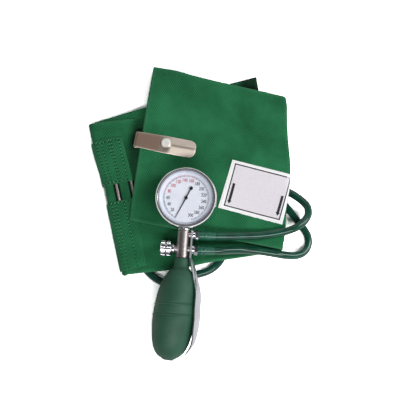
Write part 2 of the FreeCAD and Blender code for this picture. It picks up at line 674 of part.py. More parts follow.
def make_nipple(y):
    """A screwed hose nipple: threaded shank, washer face, hexagon and barbed tail."""
    seat = SPOON_SHANK_X + SPOON_SHEET
    end = NIPPLE_FLANGE_END
    tail = HOSE_ID / 2 - 0.1
    corner = 5.2
    body = turned([
        (1.3, 3.1), (2.5, 3.1), (2.5, seat), (3.9, seat), (4.2, seat + 0.4), (4.2, seat + 1.9),
        (3.0, seat + 2.3), (3.0, end), (tail - 0.4, end), (tail - 0.4, end + 1.5),
        (tail, end + 2.0), (tail - 0.35, end + 4.0), (tail, end + 4.4),
        (tail - 0.5, NIPPLE_BARB_END), (1.3, NIPPLE_BARB_END),
    ], "x")
    hex_start = seat + 2.7
    hexagon = polygon_face([
        V(hex_start, corner * math.cos(math.radians(60 * i)), corner * math.sin(math.radians(60 * i)))
        for i in range(6)]).extrude(V(end - hex_start, 0, 0))
    rounding = turned([(0, hex_start), (corner - 0.6, hex_start), (corner, hex_start + 0.5),
                       (corner, end - 0.5), (corner - 0.6, end), (0, end)], "x")
    hexagon = hexagon.common(rounding)
    hexagon = hexagon.cut(Part.makeCylinder(2.0, 4, V(hex_start - 0.5, 0, 0), V(1, 0, 0)))
    nipple = body.fuse(hexagon)
    nipple.translate(V(0, y, 0))
    return nipple.removeSplitter()


def make_valve_body():
    """The screwed-in collar that guides the valve needle."""
    bore = NEEDLE_RADIUS + 0.06
    collar = turned([(bore, 3.4), (2.5, 3.4), (2.5, 7.45), (3.8, 7.45), (5.2, 8.3), (5.2, 9.8),
                     (4.8, VALVE_COLLAR_END), (bore, VALVE_COLLAR_END)], "x")
    collar.rotate(V(0, 0, 0), V(0, 0, 1), 180)
    collar.translate(V(0, VALVE_Y, 0))
    return collar


def make_valve_needle():
    """The threaded spindle that the knob is fixed to."""
    end = VALVE_COLLAR_END + VALVE_GAP + KNOB_LENGTH - 1.5
    needle = turned([(0, 3.6), (NEEDLE_RADIUS - 0.5, 3.6), (NEEDLE_RADIUS, 4.1), (NEEDLE_RADIUS, end),
                     (0, end)], "x")
    needle.rotate(V(0, 0, 0), V(0, 0, 1), 180)
    needle.translate(V(0, VALVE_Y, 0))
    return needle


def make_valve_seal():
    """The soft seal that the needle presses on its seat, and that doesn't turn with it."""
    seal = turned([(0, 2.65), (1.3, 2.65), (1.6, 2.9), (1.6, 3.5), (0, 3.5)], "x")
    seal.rotate(V(0, 0, 0), V(0, 0, 1), 180)
    seal.translate(V(0, VALVE_Y, 0))
    return seal


def make_valve_knob():
    """The knob: two fluted rings with a groove between, and a recessed outer face."""
    start = VALVE_COLLAR_END + VALVE_GAP
    end = start + KNOB_LENGTH
    r = KNOB_RADIUS
    waist = start + KNOB_LENGTH / 2
    knob = turned([
        (NEEDLE_RADIUS, start), (r - 1.6, start), (r, start + 0.8), (r, waist - 0.9),
        (r - 1.3, waist - 0.5), (r - 1.3, waist + 0.5), (r, waist + 0.9), (r, end - 0.8),
        (r - 1.0, end), (r - 3.0, end), (r - 3.4, end - 0.7), (0, end - 0.7), (0, end - 1.5),
        (NEEDLE_RADIUS, end - 1.5),
    ], "x")
    for i in range(KNOB_FLUTES):
        angle = math.radians(360.0 * i / KNOB_FLUTES)
        reach = r + KNOB_FLUTE_RADIUS / 2
        centre = V(start - 1, reach * math.cos(angle), reach * math.sin(angle))
        knob = knob.cut(Part.makeCylinder(KNOB_FLUTE_RADIUS, KNOB_LENGTH + 2, centre, V(1, 0, 0)))
    knob.rotate(V(0, 0, 0), V(0, 0, 1), 180)
    knob.translate(V(0, VALVE_Y, 0))
    return knob.removeSplitter()


def spoon_section(y, outer_x, width, radius):
    """A curved strip across the spoon: an arc of the given radius, one sheet thick."""
    half = math.asin(width / 2 / radius)
    centre = outer_x - radius

    def at(r, angle):
        return V(centre + r * math.cos(angle), y, r * math.sin(angle))

    inner = radius - SPOON_SHEET
    return Part.Wire([
        Part.Arc(at(radius, -half), at(radius, 0), at(radius, half)).toShape(),
        Part.LineSegment(at(radius, half), at(inner, half)).toShape(),
        Part.Arc(at(inner, half), at(inner, 0), at(inner, -half)).toShape(),
        Part.LineSegment(at(inner, -half), at(radius, -half)).toShape(),
    ])


def make_spoon():
    """The thumb spoon: a flat shank clamped under the nipples, then a dished bowl."""
    shank_end = -54.6
    outer = SPOON_SHANK_X + SPOON_SHEET
    # distance along the stem, outer face, width and cross curvature
    stations = (
        (shank_end, outer, SPOON_SHANK_WIDTH, 60.0),
        (-58.5, outer + 1.9, 12.0, 12.0),
        (-64.0, 13.2, 14.0, 9.0),
        (-71.0, 15.6, 17.0, 11.0),
        (-78.0, 17.6, 20.5, 14.0),
        (-85.0, 19.7, 24.5, 18.5),
        (-96.0, 20.9, 28.5, 22.5),
        (-109.0, 21.2, 30.0, 24.0),
        (-122.0, 20.4, 28.0, 24.0),
        (-133.5, 18.2, 22.0, 24.0),
        (-141.0, 14.4, 14.5, 24.0),
        (-146.5, 10.2, 6.5, 24.0),
    )
    bowl = Part.makeLoft([spoon_section(*s) for s in stations], True, False)
    shank = Part.makeBox(SPOON_SHEET, -29.0 - shank_end, SPOON_SHANK_WIDTH,
                         V(SPOON_SHANK_X, shank_end, -SPOON_SHANK_WIDTH / 2))
    upright = [e for e in shank.Edges
               if e.BoundBox.YMin > -29.5 and e.BoundBox.XLength > 0.5 and e.BoundBox.ZLength < 0.1]
    shank = shank.makeFillet(3.0, upright)
    spoon = shank.fuse(bowl)
    for y in NIPPLE_Y:
        spoon = spoon.cut(Part.makeCylinder(2.6, 4, V(SPOON_SHANK_X - 1, y, 0), V(1, 0, 0)))
    return spoon.removeSplitter()


# ---------------------------------------------------------------- bulb
def bulb_radius_points():
    """(radius, distance from the dial centre) down the side of the bulb's body."""
    return ((BULB_NECK_RADIUS, 65.5), (12.2, 70.5), (16.9, 82.5), (19.5, 97.5),
            (BULB_BELLY_RADIUS, -BULB_BELLY_Y), (19.3, 123.5), (16.7, 137.5), (12.2, 146.5),
            (4.6, -BULB_END))


def make_bulb():
    """The body is turned about its own axis; the neck stays in line with the stem."""
    side = Part.BSplineCurve()
    side.interpolate([V(r, 0, h) for r, h in bulb_radius_points()])
    inner = Part.BSplineCurve()
    inner.interpolate([V(max(r - BULB_WALL, 3.9), 0, h - 0.4 if h > 120 else h + 0.8)
                       for r, h in bulb_radius_points()])
    first, last = side.StartPoint, side.EndPoint
    inner_first, inner_last = inner.StartPoint, inner.EndPoint
    end_hole = 3.9
    wire = Part.Wire([
        side.toShape(),
        Part.LineSegment(last, V(end_hole, 0, last.z)).toShape(),
        Part.LineSegment(V(end_hole, 0, last.z), inner_last).toShape(),
        inner.toShape(),
        Part.LineSegment(inner_first, first).toShape(),
    ])
    body = Part.Face(wire).revolve(V(0, 0, 0), V(0, 0, 1), 360)
    body.rotate(V(0, 0, 0), V(1, 0, 0), 90)
    body.Placement = BULB_SWING_PLACEMENT.multiply(body.Placement)
    top, join = -BULB_NECK_TOP, 67.5
    neck = turned_down([(SPIGOT_RADIUS, top), (BULB_MOUTH_RADIUS - 0.5, top),
                        (BULB_MOUTH_RADIUS, top + 0.6), (BULB_NECK_RADIUS, join),
                        (SPIGOT_RADIUS, join)])
    ribs = []
    for y, r in ((-100.1, 19.8), (-110.3, 20.2)):
        rib = Part.makeTorus(r - 0.15, 0.45, V(0, y, 0), V(0, 1, 0))
        rib.Placement = BULB_SWING_PLACEMENT.multiply(rib.Placement)
        ribs.append(rib)
    return body.fuse([neck] + ribs)


def make_end_valve():
    """The metal inlet seat pressed into the bulb's tail, with room for its ball."""
    end = -BULB_END
    chamber = INLET_BALL_RADIUS + 0.4
    return turned_down([(1.2, end + 0.9), (4.4, end + 0.9), (4.9, end + 0.4), (4.9, end),
                        (3.9, end), (3.9, end - 6.0), (1.5, end - 6.0), (1.5, end - 5.2),
                        (chamber, end - 5.2), (chamber, end - 1.0), (1.2, end - 0.2)])


def make_inlet_ball():
    return Part.makeSphere(INLET_BALL_RADIUS, V(0, BULB_END + 2.1, 0))


def make_outlet_valve():
    """The rubber duckbill in the mouth of the spigot that keeps air in the cuff."""
    start = -SPIGOT_END
    return turned_down([(0, start - 3.0), (2.4, start - 3.0), (2.4, start - 0.2), (1.9, start - 0.2),
                        (1.9, start - 2.2), (0.5, start - 0.9), (0, start - 0.9)])


# ---------------------------------------------------------------- hose routes
# Each route starts in its nipple, crosses the cuff, and dives under the right fold. The
# upper hose goes into the pocket; the lower one runs on under the panel, comes out in
# front, loops behind the bulb and goes into the pocket's near seam.
UPPER_ROUTE = (
    unit_point(NIPPLE_FLANGE_END, NIPPLE_Y[0], 0),
    unit_point(29.0, NIPPLE_Y[0], 0), V(50.0, -28.4, 22.8), V(71.0, -27.0, 19.9), V(88.5, -24.4, 19.7),
    V(100.2, -20.9, 19.4), V(109.2, -15.6, 18.4), V(116.0, -7.0, 15.4), V(116.3, 3.0, 11.4),
    V(109.0, 11.6, 7.4), V(99.2, 18.6, 4.6), V(88.0, 24.6, 3.9), V(77.5, 29.0, HOSE_FLOOR_Z),
)
LOWER_ROUTE = (
    unit_point(NIPPLE_FLANGE_END, NIPPLE_Y[1], 0),
    unit_point(29.0, NIPPLE_Y[1], 0), V(49.5, -40.4, 19.0), V(68.0, -40.9, 15.2), V(82.5, -43.3, 15.1),
    V(93.5, -44.8, 12.4), V(103.8, -44.6, 8.3), V(112.2, -40.8, 5.2), V(116.8, -32.7, HOSE_FLOOR_Z),
    V(115.8, -22.6, HOSE_FLOOR_Z), V(107.8, -11.4, HOSE_FLOOR_Z), V(99.0, 0.3, HOSE_FLOOR_Z),
    V(91.6, 9.0, HOSE_FLOOR_Z), V(83.0, 13.2, HOSE_FLOOR_Z), V(73.2, 12.4, HOSE_FLOOR_Z),
    V(64.8, 6.6, HOSE_FLOOR_Z), V(56.5, -6.5, HOSE_FLOOR_Z), V(46.0, -22.0, HOSE_FLOOR_Z),
    V(36.2, -38.2, HOSE_FLOOR_Z), V(31.0, -50.2, HOSE_FLOOR_Z), V(20.8, -58.8, HOSE_FLOOR_Z),
    V(7.0, -62.2, HOSE_FLOOR_Z), V(-8.0, -69.0, HOSE_FLOOR_Z), V(-21.5, -70.8, HOSE_FLOOR_Z),
    V(-33.0, -64.2, HOSE_FLOOR_Z), V(-40.2, -56.6, HOSE_FLOOR_Z), V(-45.0, -50.0, HOSE_FLOOR_Z),
)


# ---------------------------------------------------------------- build
def main():
    bore_depth = NIPPLE_BARB_END - NIPPLE_FLANGE_END + 1.0
    upper_hose = tube("hose_upper", UPPER_ROUTE, HOSE_RADIUS, HOSE_ID / 2, bore_depth)
    lower_hose = tube("hose_lower", LOWER_ROUTE, HOSE_RADIUS, HOSE_ID / 2, bore_depth)
    save("hose_upper", upper_hose)
    save("hose_lower", lower_hose)

    save("cuff_pocket", make_pocket([upper_hose, lower_hose]))
    save("bladder", make_bladder())
    save("cuff_panel", make_panel())
    save("cuff_tail", make_tail())
    save("cuff_fold_left", fold_bend(LEFT_FOLD_FAR, LEFT_FOLD_NEAR, V(1, 0.2, 0),
                                     0, PANEL_TOP, LAYER_THICKNESS))
    save("cuff_fold_right", fold_bend(RIGHT_FOLD_FAR, RIGHT_FOLD_NEAR, V(-1, 0, 0),
                                      PANEL_BOTTOM, TAIL_TOP, LAYER_THICKNESS))
    bars = make_bars()
    save("closure_bars", Part.makeCompound(bars + [make_fold_bar()]))
    save("bar_patch_upper", make_patch(UPPER_PATCH, bars))
    save("bar_patch_lower", make_patch(LOWER_PATCH, bars))
    save("closure_hook", make_hook())
    save("label", prism(LABEL_CORNERS, TAIL_TOP, LABEL_THICKNESS))

    save_on_unit("gauge_case", make_case())
    save_on_unit("bezel_ring", make_bezel())
    save_on_unit("lens", make_lens())
    save_on_unit("dial_spacer_ring", make_spacer_ring())
    save_on_unit("dial_plate", make_dial())
    save_on_unit("pointer", make_pointer())
    save_on_unit("pinion_arbor", make_pinion())
    save_on_unit("sector_gear", make_sector())
    save_on_unit("movement_base", make_movement_base())
    save_on_unit("movement_bridge", make_movement_bridge())
    save_on_unit("hairspring", make_hairspring())
    save_on_unit("capsule", make_capsule())
    save_on_unit("lift_pin", make_lift_pin())
    save_on_unit("air_block", make_air_block())

    save_on_unit("neck_collar", make_neck_collar())
    save_on_unit("stem_body", make_stem())
    save_on_unit("hose_nipple_upper", make_nipple(NIPPLE_Y[0]))
    save_on_unit("hose_nipple_lower", make_nipple(NIPPLE_Y[1]))
    save_on_unit("valve_body", make_valve_body())
    save_on_unit("valve_needle", make_valve_needle())
    save_on_unit("valve_seal", make_valve_seal())
    save_on_unit("valve_knob", make_valve_knob())
    save_on_unit("thumb_spoon", make_spoon())

    save_on_unit("bulb", make_bulb())
    save_on_unit("bulb_end_valve", make_end_valve(), swing=True)
    save_on_unit("inlet_ball", make_inlet_ball(), swing=True)
    save_on_unit("outlet_valve", make_outlet_valve())


main()
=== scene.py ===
import math

import bmesh
import bpy
from mathutils import Matrix, Vector, noise


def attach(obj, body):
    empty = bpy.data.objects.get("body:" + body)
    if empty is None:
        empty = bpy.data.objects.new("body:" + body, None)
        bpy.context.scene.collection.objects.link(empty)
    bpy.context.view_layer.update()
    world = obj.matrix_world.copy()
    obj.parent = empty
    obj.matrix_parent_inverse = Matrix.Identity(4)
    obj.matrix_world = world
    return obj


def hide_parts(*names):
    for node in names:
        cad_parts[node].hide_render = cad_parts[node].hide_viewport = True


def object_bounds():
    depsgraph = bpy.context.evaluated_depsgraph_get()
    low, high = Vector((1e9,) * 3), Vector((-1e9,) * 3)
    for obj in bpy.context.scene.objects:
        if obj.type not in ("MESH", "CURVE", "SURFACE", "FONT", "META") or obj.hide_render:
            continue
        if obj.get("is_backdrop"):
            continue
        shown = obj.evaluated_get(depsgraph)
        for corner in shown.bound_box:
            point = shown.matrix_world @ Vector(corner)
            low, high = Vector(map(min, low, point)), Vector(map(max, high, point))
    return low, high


# Palm-type aneroid sphygmomanometer: gauge, valve and bulb in one hand unit, two hoses,
# and a folded cloth arm cuff. Lengths are written in millimetres and turned to metres.
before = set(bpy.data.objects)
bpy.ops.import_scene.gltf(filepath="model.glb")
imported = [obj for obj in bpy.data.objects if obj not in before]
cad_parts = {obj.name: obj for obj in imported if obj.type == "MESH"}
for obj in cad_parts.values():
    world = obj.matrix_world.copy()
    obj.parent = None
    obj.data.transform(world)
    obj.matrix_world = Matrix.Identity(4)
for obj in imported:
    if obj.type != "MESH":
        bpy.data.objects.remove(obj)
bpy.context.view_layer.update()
MM = 0.001
UNIT_BODY = "unit_and_cuff"


# ---------------------------------------------------------------- camera
# A picture camera high in front of the object, looking steeply down at the cuff's middle.
# It has a long lens and takes in the whole object with a white margin.
def millimetres(x, y, z):
    return Vector((x, y, z)) * MM


camera_target = millimetres(12, 10, 10)
camera_elevation = math.radians(77)
camera_distance = 1.2
picture_width = 0.386
sensor_width = 36

camera_data = bpy.data.cameras.new("picture_camera")
camera_data.sensor_width = sensor_width
camera_data.lens = sensor_width * camera_distance / picture_width
camera_data.clip_end = 20
camera = bpy.data.objects.new("picture_camera", camera_data)
looking = Vector((0, math.cos(camera_elevation), -math.sin(camera_elevation)))
camera.location = camera_target - looking * camera_distance
camera.rotation_euler = looking.to_track_quat("-Z", "Y").to_euler()
bpy.context.scene.collection.objects.link(camera)
bpy.context.scene.camera = camera


# ---------------------------------------------------------------- hoses
# Two smooth extruded tubes of dark green PVC-coated rubber. They are pushed over barbed
# nipples, cross the cuff, and go back under it into the pocket with the bladder.
def linear(hex_colour):
    """The linear colour of an sRGB hex value."""
    channels = (int(hex_colour[i:i + 2], 16) / 255 for i in (1, 3, 5))
    return (*(c / 12.92 if c <= 0.04045 else ((c + 0.055) / 1.055) ** 2.4 for c in channels), 1)


def add(tree, kind, values=(), links=(), **settings):
    """A node with its settings, its socket values and the sockets that feed it."""
    node = tree.nodes.new(kind)
    for name, value in settings.items():
        setattr(node, name, value)
    for socket, value in dict(values).items():
        node.inputs[socket].default_value = value
    for socket, source in dict(links).items():
        tree.links.new(source, node.inputs[socket])
    return node


def new_material(name, **sockets):
    """A material with the given constant values on its shader's own sockets."""
    material = bpy.data.materials.new(name)
    material.use_nodes = True
    shader = material.node_tree.nodes["Principled BSDF"]
    for socket, value in sockets.items():
        shader.inputs[socket.replace("_", " ")].default_value = value
    return material, material.node_tree, shader


def cloud(tree, size, detail=3, coordinates="Object"):
    """Soft noise in patches of a size in millimetres."""
    place = add(tree, "ShaderNodeTexCoord").outputs[coordinates]
    return add(tree, "ShaderNodeTexNoise", {"Scale": 1 / (size * MM), "Detail": detail},
               {"Vector": place}).outputs["Fac"]


def between(tree, value, dark, pale, low=0.35, high=0.65):
    """A colour that runs from a dark to a pale hex value as a pattern rises."""
    ramp = add(tree, "ShaderNodeValToRGB", links={"Fac": value})
    for stop, position, colour in zip(ramp.color_ramp.elements, (low, high), (dark, pale)):
        stop.position = position
        stop.color = linear(colour)
    return ramp.outputs["Color"]


def uneven(tree, shader, low, high, size):
    """Roughness that wanders between two values in patches of a size in millimetres."""
    spread = add(tree, "ShaderNodeMapRange", {"From Min": 0.3, "From Max": 0.7,
                                              "To Min": low, "To Max": high},
                 {"Value": cloud(tree, size, 4)})
    tree.links.new(spread.outputs["Result"], shader.inputs["Roughness"])


def relief(tree, shader, height, depth, strength=1.0):
    """A fine relief of a height pattern, of a depth in millimetres."""
    bump = add(tree, "ShaderNodeBump", {"Strength": strength, "Distance": depth * MM},
               {"Height": height})
    tree.links.new(bump.outputs["Normal"], shader.inputs["Normal"])


def mottled(name, patch, tones, rough=None, **sockets):
    """A material whose colour wanders between two tones in patches of a size in millimetres.
    Its roughness wanders too, if its low, high and patch size are given."""
    material, tree, shader = new_material(name, **sockets)
    tree.links.new(between(tree, cloud(tree, patch), *tones), shader.inputs["Base Color"])
    if rough:
        uneven(tree, shader, *rough)
    return material


def show(name, data, *materials):
    """A new object that shows a mesh or curve with the given materials."""
    thing = bpy.data.objects.new(name, data)
    for material in materials:
        data.materials.append(material)
    bpy.context.scene.collection.objects.link(thing)
    return thing


def belong(thing, slot, *nodes):
    """The piece rides with the hand unit and cuff, and may stand for solid parts."""
    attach(thing, UNIT_BODY)
    if nodes:
        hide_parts(*nodes)


hose_diameter = 7.4
upper_route = (
    (10.71, -28.57, 27.61), (25.47, -29.6, 27.61), (50, -28.4, 22.8), (71, -27, 19.9),
    (88.5, -24.4, 19.7), (100.2, -20.9, 19.4), (109.2, -15.6, 18.4), (116, -7, 15.4),
    (116.3, 3, 11.4), (109, 11.6, 7.4), (99.2, 18.6, 4.6), (88, 24.6, 3.9), (77.5, 29, 3.85),
)
lower_route = (
    (9.75, -42.28, 26.36), (24.52, -43.31, 26.36), (49.5, -40.4, 19), (68, -40.9, 15.2),
    (82.5, -43.3, 15.1), (93.5, -44.8, 12.4), (103.8, -44.6, 8.3), (112.2, -40.8, 5.2),
    (116.8, -32.7, 3.85), (115.8, -22.6, 3.85), (107.8, -11.4, 3.85), (99, 0.3, 3.85),
    (91.6, 9, 3.85), (83, 13.2, 3.85), (73.2, 12.4, 3.85), (64.8, 6.6, 3.85),
    (56.5, -6.5, 3.85), (46, -22, 3.85), (36.2, -38.2, 3.85), (31, -50.2, 3.85),
    (20.8, -58.8, 3.85), (7, -62.2, 3.85), (-8, -69, 3.85), (-21.5, -70.8, 3.85),
    (-33, -64.2, 3.85), (-40.2, -56.6, 3.85), (-45, -50, 3.85),
)

# Extruded PVC over rubber: near black green and glossy, with a faint drag of the die.
hose_pvc = mottled("extruded_pvc_hose", 18, ("#083A2C", "#0F4E3C"), (0.34, 0.42, 7),
                  Specular_IOR_Level=0.1, Coat_Weight=1.0, Coat_Roughness=0.07, Coat_IOR=1.5)
# The same tube where the nipple stretches it: paler, cloudier and less glossy.
stretched_pvc = mottled("stretched_pvc_hose", 3.5, ("#0A4B39", "#14654E"), (0.26, 0.4, 4),
                       IOR=1.5, Coat_Weight=0.35, Coat_Roughness=0.15)


def make_hose(name, route):
    curve = bpy.data.curves.new(name, "CURVE")
    curve.dimensions = "3D"
    spline = curve.splines.new("NURBS")
    spline.points.add(len(route) - 1)
    for control, place in zip(spline.points, route):
        control.co = (*millimetres(*place), 1)
    spline.order_u = 3
    spline.use_endpoint_u = True
    curve.resolution_u = 12
    curve.bevel_depth = hose_diameter / 2 * MM
    curve.bevel_resolution = 7
    curve.use_fill_caps = True
    return show(name, curve, hose_pvc)


def line_of(hose):
    """The points of a hose's smooth middle line."""
    depth = hose.data.bevel_depth
    hose.data.bevel_depth = 0
    mesh = bpy.data.meshes.new_from_object(hose)
    hose.data.bevel_depth = depth
    points = [v.co.copy() for v in mesh.vertices]
    bpy.data.meshes.remove(mesh)
    return points


def finer(points, step):
    """Points every step millimetres or less along the same line, with their reach."""
    fine, reach = [points[0]], [0.0]
    for a, b in zip(points, points[1:]):
        length = (b - a).length / MM
        pieces = max(1, round(length / step))
        for k in range(1, pieces + 1):
            fine.append(a.lerp(b, k / pieces))
            reach.append(reach[-1] + length / pieces)
    return fine, reach


def mesh_of(name, solid):
    """The mesh of a solid that is ready, with its faces turned outward."""
    bmesh.ops.recalc_face_normals(solid, faces=solid.faces)
    mesh = bpy.data.meshes.new(name)
    solid.to_mesh(mesh)
    solid.free()
    return mesh


def loft(name, rings):
    """A closed mesh through rings of places, capped at both ends."""
    solid = bmesh.new()
    loops = [[solid.verts.new(place) for place in ring] for ring in rings]
    for one, other in zip(loops, loops[1:]):
        for k in range(len(one)):
            solid.faces.new((one[k], one[k - 1], other[k - 1], other[k]))
    solid.faces.new(loops[0])
    solid.faces.new(loops[-1][::-1])
    return mesh_of(name, solid)


def tube_along(line, radii, sides=32):
    """A closed tube of changing radius round a line, as a mesh."""
    turns = [math.tau * k / sides for k in range(sides)]
    rings = []
    across = Vector((0, 0, 1))
    for i, (middle, radius) in enumerate(zip(line, radii)):
        ahead = (line[min(i + 1, len(line) - 1)] - line[max(i - 1, 0)]).normalized()
        across = (across - ahead * across.dot(ahead)).normalized()
        beside = ahead.cross(across)
        rings.append([middle + (across * math.cos(t) + beside * math.sin(t)) * radius
                      for t in turns])
    return loft("tube", rings)


def smooth(thing, angle=40):
    """Smooth shading that keeps the edges which turn more than an angle."""
    thing.data.shade_smooth()
    thing.data.set_sharp_from_angle(angle=math.radians(angle))
    return thing


sleeve_length, sleeve_step = 15.8, 0.25
sleeve_gap, sleeve_swell, sleeve_lip, sleeve_taper = 0.02, 0.55, 0.8, 0.55
# Height, place and half width of the swelling over each barb
barbs = ((0.22, 3.2, 0.7), (0.2, 6.6, 0.7), (0.12, 9.6, 0.7))


def bumps(x, rows):
    """The sum of smooth bumps, each given by its height, middle and half width."""
    return sum(height * math.exp(-((x - middle) / width) ** 2)
               for height, middle, width in rows)


def make_sleeve(name, hose):
    """The first stretch of a hose, swollen where it is pushed over the barbed nipple."""
    line, reach = finer(line_of(hose), sleeve_step)
    radii = []
    for r in [r for r in reach if r <= sleeve_length]:
        rounding = math.sqrt(min(1.0, r / sleeve_lip))
        taper = min(1.0, (sleeve_length - r) / (sleeve_taper * sleeve_length))
        swell = rounding * (sleeve_swell * taper + bumps(r, barbs))
        radii.append((hose_diameter / 2 + sleeve_gap + swell) * MM)
    return smooth(show(name, tube_along(line[:len(radii)], radii), stretched_pvc), 60)


for name, route, length in (("hose_upper", upper_route, 0.171),
                            ("hose_lower", lower_route, 0.349)):
    hose = make_hose(name + "_tube", route)
    sleeve = make_sleeve(name + "_sleeve", hose)
    belong(hose, "hose_rubber", name)
    belong(sleeve, "hose_rubber")


# ---------------------------------------------------------------- bladder
# A flat bag of black natural rubber, sealed all round, that lies hidden in the pocket.
# It keeps its solid shape and gets its finish: matt, with a grey bloom.
def dress(material, *names, sharp=32):
    """Give solid parts a finish, welded and smooth but for their real edges."""
    for name in names:
        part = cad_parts[name]
        part.data.materials.clear()
        part.data.materials.append(material)
        weld = part.modifiers.new("weld", "WELD")
        weld.merge_threshold = 1e-6
        part.data.shade_smooth()
        split = part.modifiers.new("edges", "EDGE_SPLIT")
        split.split_angle = math.radians(sharp)


black_rubber = mottled("black_natural_rubber", 6, ("#1B1C1C", "#2A2B2B"), (0.6, 0.75, 4), IOR=1.52)
dress(black_rubber, "bladder")


# ---------------------------------------------------------------- pocket
# The cuff's first length: two layers of cotton drill sewn round the bladder. It is the
# thickest layer, lies on the table under the others, and is blown up a little with air.
rib_width, ribs_per_wave = 1.9, 0.4443


def make_cotton_drill(name, coordinates):
    """Cotton drill: matt green yarn in a diagonal twill with a dusting of fibre. Where the
    attribute is
    positive it is paler: rubbed wear along the edges, with a painted edge highlight. Where it is
    negative it is darker: painted shade. The real rib is 0.8 mm and is drawn 1.9 mm wide, so that
    it shows."""
    material, tree, shader = new_material(name, Roughness=0.9, Sheen_Weight=0.06,
                                          Sheen_Roughness=0.6, Specular_IOR_Level=0.1)
    place = add(tree, "ShaderNodeTexCoord").outputs[coordinates]
    wander = add(tree, "ShaderNodeTexNoise", {"Scale": 60, "Detail": 2}, {"Vector": place})
    drift = add(tree, "ShaderNodeVectorMath", {1: (0.0012, 0.0012, 0.0012)},
                {0: wander.outputs["Color"], 2: place}, operation="MULTIPLY_ADD")
    twill = add(tree, "ShaderNodeTexWave",
                {"Scale": ribs_per_wave / (rib_width * MM), "Distortion": 0.8, "Detail": 2.0,
                 "Detail Scale": 3.0},
                {"Vector": drift.outputs["Vector"]}, bands_direction="DIAGONAL")
    yarn = cloud(tree, 0.9, 3, coordinates)
    weave = add(tree, "ShaderNodeMix", {"Factor": 0.55}, {"A": twill.outputs["Fac"], "B": yarn})
    tone = add(tree, "ShaderNodeMix", {"Factor": 0.5},
               {"A": cloud(tree, 30, 4, coordinates), "B": weave.outputs["Result"]})
    green = between(tree, tone.outputs["Result"], "#145232", "#2E8053", 0.32, 0.68)
    wear_and_painted_light = add(tree, "ShaderNodeAttribute", attribute_name="wear_and_painted_light").outputs["Fac"]
    # Painted light: the pale green is rubbed wear with a painted edge highlight, and the near
    # black is painted shade.
    for most, share, hex_colour in ((1, 0.3, "#5FA27B"), (-1, 0.85, "#08190F")):
        rub_and_painted_light = add(tree, "ShaderNodeMapRange", {"From Max": most, "To Max": share},
                   {"Value": wear_and_painted_light})
        colour = add(tree, "ShaderNodeMix", links={"Factor": rub_and_painted_light.outputs["Result"], "A": green},
                     data_type="RGBA")
        colour.inputs["B"].default_value = linear(hex_colour)
        green = colour.outputs["Result"]
    tree.links.new(green, shader.inputs["Base Color"])
    relief(tree, shader, weave.outputs["Result"], 0.3, 0.8)
    return material


def refine(thing, levels=1):
    """Finish a piece with a live subdivision of equal view and render levels."""
    rounder = thing.modifiers.new("rounding", "SUBSURF")
    rounder.levels = rounder.render_levels = levels
    thing.data.shade_smooth()
    return thing


def settle(thing):
    """Put what a piece's modifiers make into its mesh, and remove them."""
    ready = thing.evaluated_get(bpy.context.evaluated_depsgraph_get())
    mesh = bpy.data.meshes.new_from_object(ready)
    thing.modifiers.clear()
    thing.data = mesh


pocket_left = (Vector((-92.0, 89.6)), Vector((-58.6, -61.7)))
pocket_right = ((0.0, Vector((68.0, 136.6))), (0.62, Vector((84.2, 24.0))),
                (0.74, Vector((63.0, 14.2))), (1.0, Vector((27.2, -36.7))))
pocket_rows, pocket_columns = 64, 60
pocket_bottom, pocket_top = 0.1, 7.55
pocket_bulge, pocket_fill, pocket_drift = 1.2, 0.93, 1.6
pocket_edge_round, pocket_seam = 3.2, (-0.8, 11.0, 1.6)
pocket_ripple, pocket_ripple_size = 0.5, 16


def smooth_step(x):
    x = min(max(x, 0.0), 1.0)
    return x * x * (3 - 2 * x)


def waves(x, y, size, seed):
    """Gentle hollows and rises of about one unit over a size in millimetres."""
    return noise.noise(Vector((x / size, y / size, seed)))


def rounded(distance, radius):
    """The share of its thickness that cloth keeps at a distance from a rounded edge."""
    return math.sqrt(1 - (1 - min(distance / radius, 1)) ** 2)


def right_end(share):
    """A place on the pocket's cut end, which has a tucked near corner."""
    for (low, a), (high, b) in zip(pocket_right, pocket_right[1:]):
        if share <= high:
            return a.lerp(b, (share - low) / (high - low))


def crowded(count, power=0.8):
    """Shares from 0 to 1 that lie closer together near both ends."""
    turns = [math.cos(math.pi * i / count) for i in range(count + 1)]
    return [0.5 - 0.5 * math.copysign(abs(turn) ** power, turn) for turn in turns]


